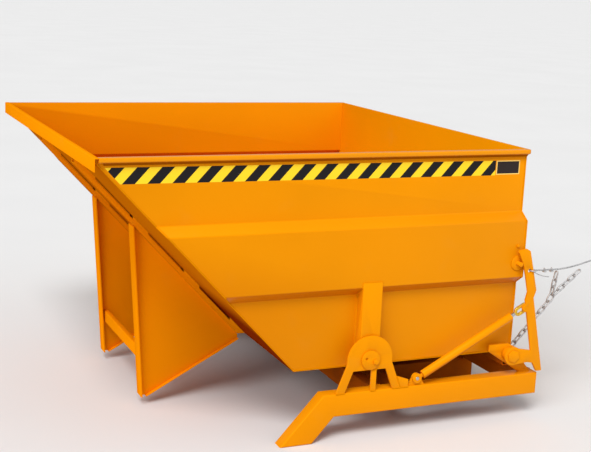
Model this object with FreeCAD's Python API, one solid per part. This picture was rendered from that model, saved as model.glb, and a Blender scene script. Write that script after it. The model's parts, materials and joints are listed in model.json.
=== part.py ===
import FreeCAD, Part
import math
import os

os.makedirs("parts", exist_ok=True)

# Self dumping hopper: a steel tub that pours over its low front lip, hinged between two
# trestles on a base frame with fork pockets. A hooked lever at the left rear corner holds
# the tub level, a sprung strut pulls the lever shut, and a rope opens it.
#
# Millimetres, Z up, the ground at zero. X runs from the pouring lip to the truck side. It is
# zero below the middle of the rim while the pieces are made, and they are all moved at the end.
# The latch side, on the left of someone who looks out over the lip, is at negative Y.

V = FreeCAD.Vector

# Tub
rim_length = 2240
rim_width = 2190
tub_depth = 1062
floor_gap = 110            # from the top of the rails up to the tub's floor
floor_start = 987          # from the lip back to the front edge of the floor
slope_step = 15            # how far below the rim the slope plate starts at the lip
side_sheet = 4
slope_sheet = 4
floor_sheet = 8
rear_sheet = 8
rim_overhang = 28          # the folded rim stands this far out of each side
rear_overhang = 12
rim_drop = 24
rim_sheet = 4
lip_height = 62
lip_width = 22
lip_sheet = 5

# The band in each side wall that is joggled outwards
swage_out = 55
swage_rise = 40            # height over which the sheet runs out or back in
swage_top = 319            # from the rim down to the upper fold
swage_foot = 693           # from the rim down to the end of the lower fold

# Stiffening under the slope
rib_spread = 768           # between the middles of the two ribs
rib_width = 60
rib_depth = 30
rib_sheet = 4
rib_start = 70             # from the lip to the upper end of a rib, measured level
rib_slots = ((175, 367), (449, 641), (727, 902))   # gaps between its stitch welds, from the lip
rib_slot_height = 9
leg_top = 372              # from the lip to the front edge of a leg where it meets its rib
leg_toe = 431              # the same at its toe
leg_toe_length = 22
leg_ground_gap = 52
leg_heel_set_in = 31       # from the floor's front edge forward to the rear end of a leg
leg_heel_edge = 18         # height of that end
leg_plate = 6
leg_face_width = 80
leg_face_sheet = 8
leg_flange_width = 44
leg_flange_sheet = 6
leg_bar_width = 64
leg_bar_depth = 30
leg_bar_sheet = 4
leg_bar_height = 232       # underside of the cross bar above the ground
leg_bar_set_back = 10

# Pivot
pivot_from_rear = 878      # from the rear end of the rim
pivot_rise = 50            # above the underside of the tub's floor
pivot_pin_diameter = 70
pivot_clearance = 0.05
pivot_hub_diameter = 98
post_width = 104
post_proud = 5             # the post stands this far out of the joggled band
post_top = 628             # from the rim down
post_sheet = 6
pin_cap_diameter = 98
pin_cap_sheet = 10
cap_screw_spacing = 50
cap_screw_angle = 20       # degrees that the line through the two screws leans
cap_screw_head = 24        # across the flats of the one with a head
cap_screw_head_height = 13
cap_socket = 12            # across the flats of the one that is sunk
cap_socket_depth = 8
pin_end_gap = 2            # between the side sheet and the inner end of a pivot pin

# Base frame
trestle_gap = 2            # between a pivot post and its trestle
rail_width = 70
rail_height = 115
rail_underside = 126
rail_overrun = 115         # behind the rear end of the rim
rail_web = 7
rail_flange = 9
nose_start = 242           # from the pivot forward to where the rail turns down into its foot
nose_angle = 48            # degrees
nose_foot_length = 165
cross_width = 60
cross_sheet = 7
front_cross_offset = 38    # from the pivot back
middle_cross_offset = 198
pocket_spread = 800        # between the middles of the two fork pockets
pocket_width = 250
pocket_sheet = 8
pocket_front_offset = 198  # from the pivot back

# Trestles
trestle_sheet = 12
trestle_foot = 177         # half its width where it stands on the rail
trestle_shoulder = 122     # half its width just below the pivot
trestle_shoulder_drop = 19
trestle_leg_width = 46
trestle_plate_drop = 52    # from the pivot down to the lower edge of the pivot plate
trestle_post_width = 28
trestle_post_offset = 25
gusset_length = 44
gusset_height = 62
gusset_end_height = 38

# Rear bracket and rest
bracket_sheet = 12
bracket_set_in = 38        # from the rail's outer face
bracket_reach = 115        # from the latch pin forward to its front end
bracket_front_rise = 17    # from the latch pin up to the lower corner there
bracket_top_rise = 53
bracket_heel = 75          # from the latch pin back to the front end of its foot
bracket_neck = 110
bracket_rear = 146
bracket_neck_cut = 20
rest_reach = 21            # from the latch pin forward to the rest beam
rest_size = 60
rest_sheet = 5
rest_pad_height = 9.7
rest_pad_length = 90
rest_gap = 0.3
rest_pad_spread = 1500

# Latch lever, its plate outside the rail
lever_sheet = 12
lever_gap = 2               # between the rail and the lever
lever_pin_from_rear = 54    # from the rear end of the rim
lever_pin_rise = 107        # above the top of the rails
lever_pin_diameter = 30
lever_pin_head = 60         # across the flats of its nut
lever_pin_head_height = 8
lever_pin_turn = 12         # degrees
lever_boss_diameter = 72
lever_eye_radius = 48
lever_hook = (              # corners back from the stud and up from it: up the front, down the back
    ((47, -190), (57, -149), (36, -62), (22, -14), (3, 26), (-16, 63), (-10, 74)),
    ((31, 80), (52, 68), (83, -47), (108, -142), (95, -181)),
)
lever_arm = (               # corners back from the latch pin and up from it
    (181, -82), (182, -93), (150, -93), (124, -47), (89, -39), (14, -46), (-6, 44), (106, 23),
)
stud_from_rear = 54         # from the rear end of the rim
stud_above_fold = 75        # from the fold under the joggled band
stud_diameter = 24
stud_disc_diameter = 76
stud_disc_sheet = 5
stud_clearance = 3
band_bolt_from_rear = 59
band_bolt_above_fold = 165
band_bolt_head = 16         # across its flats
band_bolt_height = 6

# Strut
strut_lug_offset = 271     # from the pivot back
strut_lug_rise = 38        # above the top of the rails
strut_head_back = 56       # from the stud back to the strut's pin on the lever
strut_head_below = 233     # from the stud down to it
strut_eye_sheet = 12
strut_eye_gap = 0.5
strut_tube_diameter = 42
strut_wall = 4
strut_rod_diameter = 18
strut_eye_diameter = 50
strut_pin_diameter = 18
strut_pin_end = 2          # a pin's end stands this far out of its eye
strut_neck = 34            # from the lower eye's centre to the tube
strut_rod_out = 26         # rod showing between the tube and the link
strut_rod_in = 300
strut_link_length = 40     # between the middles of the link's two round ends
strut_link_room = 0.6      # round the pin in the link's long hole
lug_sheet = 12
lug_length = 96
lug_radius = 24
lever_lug_radius = 22

# Safety chain, its places in the plane that it hangs in
link_wire = 9
link_pitch = 42             # length inside a link
link_width = 33
link_gap = 0.8
eye_seat = 1.6              # from the edge of the hole to the middle of the link's end
junction_seat = 1.2         # between the junction link and each link that it holds
chain_set_in = 176          # from the inner face of the rail
chain_eye_set_in = 43       # from the rear end of the rails
chain_eye_height = 24      # its hole above the rear cross member
chain_eye_sheet = 10
chain_eye_radius = 20
chain_eye_bore = 20
chain_angle = 47           # degrees that the single run rises
chain_count = 9
branch_angles = (80, 39)
branch_counts = (3, 5)
junction_pitch = 48         # the larger link that joins the three runs
junction_width = 41
junction_angle = 60
junction_spread = 58        # degrees to each side of its length, to the two links in its upper end

# Pull rope on the lever
rope_diameter = 9
rope_hole_back = 57          # from the stud
rope_hole_below = 36
rope_hole = 20
rope_ring_seat = 0.5         # between the ring's wire and the edge of its hole
rope_angles = (-1, 13)      # degrees, of the run that leaves the lever and of the next
rope_runs = (188, 270)      # each run up to the corner, and from it
rope_bend = 420             # radius of the arc between them
rope_ring_wire = 7
rope_ring_radius = 17
rope_clip_length = 16
rope_clip_height = 26
rope_clip_width = 18
rope_clip_places = (52, 96)
rope_handle_radius = 30
rope_handle_wire = 12
wire_sides = 8               # flats that stand for round wire
ring_steps = 16
bend_steps = 4

# Worked out from the sizes above
total_height = rail_underside + rail_height + floor_gap + tub_depth
front = -rim_length / 2
rim_end = front + rim_length
half_rim = rim_width / 2
half_tub = half_rim - rim_overhang
rear_face = rim_end - rear_overhang
rear_inner = rear_face - rear_sheet
floor_z = total_height - tub_depth
slope_rise = (tub_depth - slope_step) / floor_start
slope_angle = math.atan(slope_rise)
rail_top = rail_underside + rail_height
pivot = V(rim_end - pivot_from_rear, 0, floor_z + pivot_rise)
post_face = half_tub + swage_out + post_proud
trestle_inner = post_face + trestle_gap
rail_outer = trestle_inner + trestle_sheet
rail_inner = rail_outer - rail_width
rail_rear = rim_end + rail_overrun
bracket_outer = rail_outer - bracket_set_in
bracket_inner = bracket_outer - bracket_sheet
lever_inner = rail_outer + lever_gap
lever_outer = lever_inner + lever_sheet
stud_drop = swage_foot - swage_rise - stud_above_fold
stud_x, stud_z = rim_end - stud_from_rear, total_height - stud_drop
lever_x, lever_z = rim_end - lever_pin_from_rear, rail_top + lever_pin_rise
head_x, head_z = stud_x + strut_head_back, stud_z - strut_head_below
nodes = {}


def x_at(from_lip):
    """Place along X of something measured back from the pouring lip."""
    return front + from_lip


def z_at(drop):
    """Height of something measured down from the rim."""
    return total_height - drop


def slope_z(x, below=0):
    """Height at x of the line under the slope plate, or of one parallel to it further down."""
    return z_at(slope_step) - (x - front) * slope_rise - below / math.cos(slope_angle)


def plate(outline, y_start, y_end):
    """Solid of an outline of (x, z) points, from one Y to another."""
    face = Part.Face(Part.makePolygon([V(x, y_start, z) for x, z in outline + outline[:1]]))
    return face.extrude(V(0, y_end - y_start, 0))


def section(outline, x_start, x_end):
    """Solid of an outline of (y, z) points, from one X to another."""
    face = Part.Face(Part.makePolygon([V(x_start, y, z) for y, z in outline + outline[:1]]))
    return face.extrude(V(x_end - x_start, 0, 0))


def block(x0, x1, y0, y1, z0, z1):
    """Box between two corners."""
    return Part.makeBox(x1 - x0, y1 - y0, z1 - z0, V(x0, y0, z0))


def rod_y(x, z, y_start, y_end, diameter):
    """Round bar across the hopper."""
    low = min(y_start, y_end)
    return Part.makeCylinder(diameter / 2, abs(y_end - y_start), V(x, low, z), V(0, 1, 0))


def hex_y(x, z, y_start, y_end, across_flats, turn=0):
    """Six sided head across the hopper, one corner up before it is turned by some degrees."""
    radius = across_flats / math.sqrt(3)
    corners = []
    for i in range(6):
        angle = math.radians(90 + turn) + 2 * math.pi * i / 6
        corners.append((x + radius * math.cos(angle), z + radius * math.sin(angle)))
    return plate(corners, y_start, y_end)


def tube_y(x, z, y_start, y_end, outer, inner):
    """Round tube across the hopper."""
    return rod_y(x, z, y_start, y_end, outer).cut(rod_y(x, z, y_start, y_end, inner))


def mirrored(shape):
    """The same piece on the other side of the hopper."""
    return shape.mirror(V(0, 0, 0), V(0, 1, 0))


def offset_path(path, distance):
    """Open path of (a, b) points moved sideways, to its left, with its corners kept sharp."""
    lines = []
    for (a0, b0), (a1, b1) in zip(path, path[1:]):
        length = math.hypot(a1 - a0, b1 - b0)
        shift_a = -(b1 - b0) / length * distance
        shift_b = (a1 - a0) / length * distance
        lines.append(((a0 + shift_a, b0 + shift_b), (a1 + shift_a, b1 + shift_b)))
    moved = [lines[0][0]]
    for ((a0, b0), (a1, b1)), ((c0, d0), (c1, d1)) in zip(lines, lines[1:]):
        ra, rb, sa, sb = a1 - a0, b1 - b0, c1 - c0, d1 - d0
        along = ((c0 - a0) * sb - (d0 - b0) * sa) / (ra * sb - rb * sa)
        moved.append((a0 + along * ra, b0 + along * rb))
    return moved + [lines[-1][1]]


# Tub: one outline across it, followed by the floor, slope, rear wall and both sides
side_path = [
    (-half_tub, floor_z),
    (-half_tub, z_at(swage_foot)),
    (-half_tub - swage_out, z_at(swage_foot - swage_rise)),
    (-half_tub - swage_out, z_at(swage_top + swage_rise)),
    (-half_tub, z_at(swage_top)),
    (-half_tub, total_height),
]
outline = side_path + [(-y, z) for y, z in reversed(side_path)]
envelope = section(outline, front, rear_face)
side_profile = side_path + list(reversed(offset_path(side_path, -side_sheet)))
side_skin = section(side_profile, front, rear_face)

slope_end = x_at(floor_start)
far_front, far_rear = front - rim_length, rear_face + rim_length
slope_normal = V(math.sin(slope_angle), 0, math.cos(slope_angle))
upper = slope_normal * slope_sheet
slope_slab = plate([
    (far_front, slope_z(far_front)), (far_rear, slope_z(far_rear)),
    (far_rear + upper.x, slope_z(far_rear) + upper.z),
    (far_front + upper.x, slope_z(far_front) + upper.z),
], -rim_width, rim_width)
lip_bar = plate([
    (front, total_height), (front + lip_width, total_height),
    (front + lip_width, z_at(lip_sheet)), (front + lip_sheet, z_at(lip_sheet)),
    (front + lip_sheet, z_at(lip_height)), (front, z_at(lip_height)),
], -half_rim, half_rim)
slope_plate = envelope.common(slope_slab)
slope_plate = slope_plate.common(
    block(front + lip_sheet, rear_face, -rim_width, rim_width, floor_z, z_at(lip_sheet)))
floor_slab = block(front, rear_inner, -half_tub, half_tub, floor_z, floor_z + floor_sheet)
in_front = plate([
    (front, slope_z(front, -slope_sheet)), (far_rear, slope_z(far_rear, -slope_sheet)),
    (front, slope_z(far_rear, -slope_sheet)),
], -rim_width, rim_width)
floor_plate = floor_slab.cut(in_front)
rear_wall = envelope.common(block(rear_inner, rear_face, -rim_width, rim_width, floor_z, total_height))
left_side = side_skin.cut(in_front).cut(lip_bar)
left_side = left_side.common(
    block(front + lip_sheet, rear_inner, -rim_width, 0, floor_z + floor_sheet, total_height))
nodes["slope_plate"] = slope_plate
nodes["floor_plate"] = floor_plate
nodes["rear_wall"] = rear_wall
nodes["left_side_wall"] = left_side
nodes["right_side_wall"] = mirrored(left_side)

# Lip bar and folded rim
nodes["lip_bar"] = lip_bar
rim_outer = [
    (-half_tub, total_height), (-half_rim, total_height),
    (-half_rim, z_at(rim_drop)), (-half_tub, z_at(rim_drop)),
]
rim_profile = rim_outer + list(reversed(offset_path(rim_outer, rim_sheet)))
left_rim = section(rim_profile, front + lip_width, rim_end)
nodes["left_rim"] = left_rim
nodes["right_rim"] = mirrored(left_rim)
nodes["rear_rim"] = block(rear_face, rim_end, -half_tub, half_tub,
                          z_at(rim_drop), total_height)

# Two ribs under the slope, open towards it
rib_y = rib_spread / 2


def rib(y):
    """Channel under the slope plate, its flanges welded to the sheet."""
    start, end = x_at(rib_start), slope_end
    body = plate([
        (start, slope_z(start)), (end, slope_z(end)), (end, slope_z(end, rib_depth)),
        (start, slope_z(start, rib_depth)),
    ], y - rib_width / 2, y + rib_width / 2)
    hollow = plate([
        (front, slope_z(front)), (rear_face, slope_z(rear_face)),
        (rear_face, slope_z(rear_face, rib_depth - rib_sheet)),
        (front, slope_z(front, rib_depth - rib_sheet)),
    ], y - rib_width / 2 + rib_sheet, y + rib_width / 2 - rib_sheet)
    channel = body.cut(hollow)
    for slot_start, slot_end in rib_slots:
        x0, x1 = x_at(slot_start), x_at(slot_end)
        channel = channel.cut(plate([
            (x0, slope_z(x0)), (x1, slope_z(x1)),
            (x1, slope_z(x1, rib_slot_height)), (x0, slope_z(x0, rib_slot_height)),
        ], y - rib_width, y + rib_width))
    return channel.common(block(front, rear_face, -rim_width, rim_width, floor_z, total_height))


nodes["slope_ribs"] = Part.makeCompound([rib(-rib_y), rib(rib_y)])

# Legs: a plate below each rib with a flat bar down its front and a flange along its foot
leg_top_x, leg_toe_x, leg_heel_x = x_at(leg_top), x_at(leg_toe), slope_end - leg_heel_set_in
leg_top_point = (leg_top_x, slope_z(leg_top_x, rib_depth))
leg_toe_point = (leg_toe_x, leg_ground_gap)
leg_foot_point = (leg_toe_x + leg_toe_length, leg_ground_gap)
leg_back_point = (leg_heel_x, slope_z(leg_heel_x, rib_depth))
leg_heel_point = (leg_heel_x, leg_back_point[1] - leg_heel_edge)


def leg_sheet(y):
    """Triangular plate of one leg."""
    return plate([leg_top_point, leg_toe_point, leg_foot_point, leg_heel_point, leg_back_point],
                 y - leg_plate / 2, y + leg_plate / 2)


def leg_face(y):
    """Flat bar along the front edge of one leg."""
    (x0, z0), (x1, z1) = offset_path([leg_top_point, leg_toe_point], -leg_face_sheet)
    bar = plate([leg_top_point, leg_toe_point, (x1, z1), (x0, z0)],
                y - leg_face_width / 2, y + leg_face_width / 2)
    return bar


def leg_flange(y):
    """Flat bar along the lower edge of one leg."""
    (x0, z0), (x1, z1) = offset_path([leg_foot_point, leg_heel_point], -leg_flange_sheet)
    return plate([leg_foot_point, leg_heel_point, (x1, z1), (x0, z0)],
                 y - leg_flange_width / 2, y + leg_flange_width / 2)


nodes["left_leg_plate"] = leg_sheet(-rib_y)
nodes["right_leg_plate"] = leg_sheet(rib_y)
nodes["leg_face_bars"] = Part.makeCompound([leg_face(-rib_y), leg_face(rib_y)])
nodes["leg_foot_flanges"] = Part.makeCompound([leg_flange(-rib_y), leg_flange(rib_y)])
leg_front_x = leg_top_x + (leg_toe_x - leg_top_x) * (
    (leg_top_point[1] - leg_bar_height - leg_bar_width / 2) / (leg_top_point[1] - leg_ground_gap))
bar_x = leg_front_x + leg_bar_set_back
bar_end = rib_y - leg_plate / 2
cross_bar = block(bar_x, bar_x + leg_bar_depth, -bar_end, bar_end,
                  leg_bar_height, leg_bar_height + leg_bar_width)
nodes["leg_cross_bar"] = cross_bar.cut(block(
    bar_x + leg_bar_sheet, bar_x + leg_bar_depth - leg_bar_sheet, -bar_end, bar_end,
    leg_bar_height + leg_bar_sheet, leg_bar_height + leg_bar_width - leg_bar_sheet))

# Pivot posts on the side walls, with their hubs
hub_bore = pivot_pin_diameter + 2 * pivot_clearance


def pivot_post():
    """Channel down the left side wall, over the lower part of its joggled band."""
    body = block(pivot.x - post_width / 2, pivot.x + post_width / 2, -post_face, -half_tub,
                 floor_z, z_at(post_top))
    hollow = block(pivot.x - post_width / 2 + post_sheet, pivot.x + post_width / 2 - post_sheet,
                   -post_face + post_sheet, 0, 0, z_at(post_top) - post_sheet)
    hub = rod_y(pivot.x, pivot.z, -post_face, -half_tub, pivot_hub_diameter)
    return body.cut(hollow).cut(hub).cut(envelope)


left_post = pivot_post()
left_hub = tube_y(pivot.x, pivot.z, -post_face, -half_tub, pivot_hub_diameter, hub_bore)
nodes["left_pivot_post"] = left_post
nodes["right_pivot_post"] = mirrored(left_post)
nodes["left_pivot_hub"] = left_hub
nodes["right_pivot_hub"] = mirrored(left_hub)

# Stud that the latch holds, on a disc on the joggled band
band_face = half_tub + swage_out
stud_end = lever_outer + stud_clearance
stud_disc = rod_y(stud_x, stud_z, -band_face - stud_disc_sheet, -band_face,
                  stud_disc_diameter)
stud_disc = stud_disc.common(block(front, rear_face, -rim_width, 0, 0, total_height))
nodes["latch_stud"] = stud_disc.fuse(
    rod_y(stud_x, stud_z, -stud_end, -band_face - stud_disc_sheet, stud_diameter)).removeSplitter()
band_bolt_z = z_at(swage_foot - swage_rise - band_bolt_above_fold)
nodes["band_bolt"] = hex_y(rim_end - band_bolt_from_rear, band_bolt_z, -band_face - band_bolt_height,
                           -band_face, band_bolt_head)

# Side rails: a channel open to the inside, its front end turned down to a foot
nose_x = pivot.x - nose_start
foot_front = nose_x - rail_top / math.tan(math.radians(nose_angle))
foot_rear = foot_front + nose_foot_length
rail_turn = foot_rear + rail_underside / math.tan(math.radians(nose_angle))
rail_outline = [
    (rail_rear, rail_underside), (rail_rear, rail_top), (nose_x, rail_top),
    (foot_front, 0), (foot_rear, 0), (rail_turn, rail_underside),
]


def side_rail():
    """Left rail with its foot."""
    body = plate(rail_outline, -rail_outer, -rail_outer + rail_width)
    wire = Part.makePolygon([V(x, 0, z) for x, z in rail_outline + rail_outline[:1]])
    inner = wire.makeOffset2D(-rail_flange, 2)
    hollow = Part.Face(inner).extrude(V(0, rail_width, 0))
    hollow.translate(V(0, -rail_outer + rail_web, 0))
    return body.cut(hollow)


left_rail = side_rail()
nodes["left_side_rail"] = left_rail
nodes["right_side_rail"] = mirrored(left_rail)


def cross_member(x_start):
    """Channel between the rails, its web to the front."""
    body = block(x_start, x_start + cross_width, -rail_inner, rail_inner, rail_underside, rail_top)
    hollow = block(x_start + cross_sheet, x_start + cross_width, -rail_inner, rail_inner,
                   rail_underside + cross_sheet, rail_top - cross_sheet)
    return body.cut(hollow)


nodes["front_cross_member"] = cross_member(pivot.x + front_cross_offset)
nodes["middle_cross_member"] = cross_member(pivot.x + middle_cross_offset)
nodes["rear_cross_member"] = cross_member(rail_rear - cross_width)


def fork_pocket(y):
    """Square tube that takes one fork, open at both ends."""
    x0, x1 = pivot.x + pocket_front_offset, rail_rear
    body = block(x0, x1, y - pocket_width / 2, y + pocket_width / 2, 0, rail_underside)
    hollow = block(x0, x1, y - pocket_width / 2 + pocket_sheet, y + pocket_width / 2 - pocket_sheet,
                   pocket_sheet, rail_underside - pocket_sheet)
    return body.cut(hollow)


nodes["left_fork_pocket"] = fork_pocket(-pocket_spread / 2)
nodes["right_fork_pocket"] = fork_pocket(pocket_spread / 2)

# Trestles on the rails


def trestle():
    """Left trestle plate: a round head on two spread legs."""
    foot, shoulder = trestle_foot, trestle_shoulder
    shoulder_z = pivot.z - trestle_shoulder_drop
    lean = (foot - shoulder) / (shoulder_z - rail_top)
    plate_z = pivot.z - trestle_plate_drop
    legs = plate([
        (pivot.x - foot, rail_top), (pivot.x - shoulder, shoulder_z), (pivot.x - shoulder, pivot.z),
        (pivot.x + shoulder, pivot.z), (pivot.x + shoulder, shoulder_z), (pivot.x + foot, rail_top),
    ], -rail_outer, -trestle_inner)
    head = rod_y(pivot.x, pivot.z, -rail_outer, -trestle_inner, 2 * shoulder)
    window_top = shoulder + lean * (shoulder_z - plate_z) - trestle_leg_width
    window = plate([
        (pivot.x - foot + trestle_leg_width, rail_top), (pivot.x - window_top, plate_z),
        (pivot.x + window_top, plate_z), (pivot.x + foot - trestle_leg_width, rail_top),
    ], -rail_outer, -trestle_inner)
    bore = rod_y(pivot.x, pivot.z, -rail_outer, -trestle_inner, pivot_pin_diameter)
    return legs.fuse(head).removeSplitter().cut(window).cut(bore)


left_trestle = trestle()
nodes["left_trestle"] = left_trestle
nodes["right_trestle"] = mirrored(left_trestle)
stay_x = pivot.x + trestle_post_offset
stay = block(stay_x - trestle_post_width / 2, stay_x + trestle_post_width / 2,
             -rail_outer, -trestle_inner, rail_top, pivot.z - trestle_plate_drop)
nodes["trestle_stays"] = Part.makeCompound([stay, mirrored(stay)])
gusset_start = pivot.x + trestle_foot
gusset = plate([
    (gusset_start, rail_top), (gusset_start + gusset_length, rail_top),
    (gusset_start + gusset_length, rail_top + gusset_end_height),
    (gusset_start - (trestle_foot - trestle_shoulder) * gusset_height
     / (pivot.z - trestle_shoulder_drop - rail_top), rail_top + gusset_height),
], -rail_outer, -trestle_inner)
nodes["trestle_gussets"] = Part.makeCompound([gusset, mirrored(gusset)])

# Pivot pins, held by a cap with two screws
pin_end = half_tub + pin_end_gap
left_pin = rod_y(pivot.x, pivot.z, -rail_outer, -pin_end, pivot_pin_diameter)
nodes["left_pivot_pin"] = left_pin
nodes["right_pivot_pin"] = mirrored(left_pin)
cap_face = rail_outer + pin_cap_sheet
lean = math.radians(cap_screw_angle)
screw_back = cap_screw_spacing / 2 * math.cos(lean)
screw_down = cap_screw_spacing / 2 * math.sin(lean)
cap = rod_y(pivot.x, pivot.z, -cap_face, -rail_outer, pin_cap_diameter)
cap = cap.cut(hex_y(pivot.x - screw_back, pivot.z + screw_down, -cap_face,
                    -cap_face + cap_socket_depth, cap_socket))
nodes["pivot_pin_caps"] = Part.makeCompound([cap, mirrored(cap)])
screw = hex_y(pivot.x + screw_back, pivot.z - screw_down, -cap_face - cap_screw_head_height,
              -cap_face, cap_screw_head)
nodes["pivot_cap_screws"] = Part.makeCompound([screw, mirrored(screw)])

# Rear brackets, the rest beam between them and its pads


def rear_bracket():
    """Left bracket: a foot on the end of the rail and a horn along the tub."""
    front_x, top_z = lever_x - bracket_reach, lever_z + bracket_top_rise
    neck_x = lever_x + bracket_neck
    outline_points = [
        (lever_x + bracket_heel, rail_top), (front_x, lever_z + bracket_front_rise),
        (front_x, top_z), (lever_x, top_z), (neck_x, lever_z),
        (neck_x - bracket_neck_cut, lever_z - 2 * bracket_neck_cut),
        (lever_x + bracket_rear, rail_top),
    ]
    return plate(outline_points, -bracket_outer, -bracket_inner)


left_bracket = rear_bracket()
rest_z = floor_z - rest_gap - rest_pad_height
rest_x = lever_x - rest_reach
rest_beam = block(rest_x, rest_x + rest_size, -bracket_inner, bracket_inner,
                  rest_z - rest_size, rest_z)
rest_beam = rest_beam.cut(block(
    rest_x + rest_sheet, rest_x + rest_size - rest_sheet, -bracket_inner, bracket_inner,
    rest_z - rest_size + rest_sheet, rest_z - rest_sheet))
nodes["rest_beam"] = rest_beam
pad = block(rest_x, rest_x + rest_size, -rest_pad_spread / 2 - rest_pad_length / 2,
            -rest_pad_spread / 2 + rest_pad_length / 2, rest_z, rest_z + rest_pad_height)
nodes["rest_pads"] = Part.makeCompound([pad, mirrored(pad)])

# Latch pivot on the left bracket
left_bracket = left_bracket.cut(
    rod_y(lever_x, lever_z, -bracket_outer, -bracket_inner, lever_pin_diameter))
nodes["left_rear_bracket"] = left_bracket
nodes["right_rear_bracket"] = mirrored(rear_bracket())
nodes["latch_boss"] = tube_y(lever_x, lever_z, -lever_inner + rest_gap, -bracket_outer,
                             lever_boss_diameter, lever_pin_diameter)
latch_pin = rod_y(lever_x, lever_z, -lever_outer - rest_gap, -bracket_inner, lever_pin_diameter)
latch_pin = latch_pin.fuse(hex_y(lever_x, lever_z, -lever_outer - rest_gap - lever_pin_head_height,
                                 -lever_outer - rest_gap, lever_pin_head, lever_pin_turn)).removeSplitter()
nodes["latch_pin"] = latch_pin
rope_hole_x, rope_hole_z = stud_x + rope_hole_back, stud_z - rope_hole_below


def latch_lever():
    """Lever plate: eye on the latch pin, arm back past the tub, kinked bar up to the hook."""
    hook = [(stud_x + back, stud_z + rise) for side in lever_hook for back, rise in side]
    arm = [(lever_x + back, lever_z + rise) for back, rise in lever_arm]
    body = plate(hook + arm, -lever_outer, -lever_inner)
    eye = rod_y(lever_x, lever_z, -lever_outer, -lever_inner, 2 * lever_eye_radius)
    lug = rod_y(head_x, head_z, -lever_outer, -lever_inner, 2 * lever_lug_radius)
    body = body.fuse([eye, lug]).removeSplitter()
    for x, z, bore in (
            (lever_x, lever_z, lever_pin_diameter + 2 * pivot_clearance),
            (head_x, head_z, strut_pin_diameter),
            (rope_hole_x, rope_hole_z, rope_hole)):
        body = body.cut(rod_y(x, z, -lever_outer, -lever_inner, bore))
    return body


nodes["latch_lever"] = latch_lever()

# Strut that pulls the lever shut, from a lug on the rail to a pin on the lever
lug_x, lug_z = pivot.x + strut_lug_offset, rail_top + strut_lug_rise
eye_outer = lever_inner - strut_eye_gap
eye_inner = eye_outer - strut_eye_sheet
strut_y = (eye_outer + eye_inner) / 2
run_x, run_z = head_x - lug_x, head_z - lug_z
strut_length = math.hypot(run_x, run_z)
strut_way = V(run_x / strut_length, 0, run_z / strut_length)
lug_outer = eye_inner - strut_eye_gap
lug_inner = lug_outer - lug_sheet
lug = plate([
    (lug_x - lug_length / 2, rail_top), (lug_x - lug_radius, lug_z), (lug_x + lug_radius, lug_z),
    (lug_x + lug_length / 2, rail_top),
], -lug_outer, -lug_inner)
lug = lug.fuse(rod_y(lug_x, lug_z, -lug_outer, -lug_inner, 2 * lug_radius)).removeSplitter()
nodes["strut_lug"] = lug.cut(rod_y(lug_x, lug_z, -lug_outer, -lug_inner, strut_pin_diameter))
nodes["strut_lug_pin"] = rod_y(lug_x, lug_z, -eye_outer - strut_pin_end, -lug_inner,
                               strut_pin_diameter)
nodes["strut_head_pin"] = rod_y(head_x, head_z, -lever_outer, -eye_inner + strut_pin_end,
                                strut_pin_diameter)
pin_bore = strut_pin_diameter + 2 * pivot_clearance


def along_strut(distance):
    """Point on the strut's middle line."""
    return V(lug_x, -strut_y, lug_z) + strut_way * distance


def bar_along(start, end, diameter):
    """Round bar on the strut's middle line."""
    return Part.makeCylinder(diameter / 2, end - start, along_strut(start), strut_way)


tube_start = strut_neck
link_start = strut_length - strut_link_length
tube_end = link_start - strut_eye_diameter / 2 - strut_rod_out
lower_eye = rod_y(lug_x, lug_z, -eye_outer, -eye_inner, strut_eye_diameter)
neck = bar_along(0, tube_start + strut_wall, strut_rod_diameter).common(
    block(front, rim_end + rim_length, -eye_outer, -eye_inner, 0, total_height))
tube = bar_along(tube_start, tube_end, strut_tube_diameter)
tube = tube.cut(bar_along(tube_start + strut_wall, tube_end - strut_wall,
                          strut_tube_diameter - 2 * strut_wall))
tube = tube.cut(bar_along(tube_end - strut_wall, tube_end,
                          strut_rod_diameter + 2 * pivot_clearance))
strut_tube = tube.fuse([lower_eye, neck]).removeSplitter()
nodes["strut_tube"] = strut_tube.cut(rod_y(lug_x, lug_z, -eye_outer, -eye_inner, pin_bore))
first = along_strut(link_start)
nodes["strut_rod"] = bar_along(tube_end - strut_rod_in, link_start - strut_eye_diameter / 2,
                               strut_rod_diameter)
side = V(-strut_way.z, 0, strut_way.x) * (strut_eye_diameter / 2)
corners = [first + side, along_strut(strut_length) + side, along_strut(strut_length) - side, first - side]
link = plate([(point.x, point.z) for point in corners], -eye_outer, -eye_inner)
link = link.fuse([rod_y(first.x, first.z, -eye_outer, -eye_inner, strut_eye_diameter),
                  rod_y(head_x, head_z, -eye_outer, -eye_inner, strut_eye_diameter)]).removeSplitter()
slot_radius = strut_pin_diameter / 2 + strut_link_room
side = V(-strut_way.z, 0, strut_way.x) * slot_radius
corners = [first + side, along_strut(strut_length) + side, along_strut(strut_length) - side, first - side]
slot = plate([(point.x, point.z) for point in corners], -eye_outer, -eye_inner)
slot = slot.fuse([rod_y(first.x, first.z, -eye_outer, -eye_inner, 2 * slot_radius),
                  rod_y(head_x, head_z, -eye_outer, -eye_inner, 2 * slot_radius)])
link = link.cut(slot)
nodes["strut_link"] = link

# Safety chain: an eye on the rear cross member, one run, and two runs up from the link on its end


def wire_section(centre, way, across, diameter):
    """Corners of the eight sided section of round wire, square to way."""
    upright = way.cross(across)
    corners = []
    for i in range(wire_sides):
        turn = 2 * math.pi * (i + 0.5) / wire_sides
        corners.append(centre + (across * math.cos(turn) + upright * math.sin(turn)) * (diameter / 2))
    return corners


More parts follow.
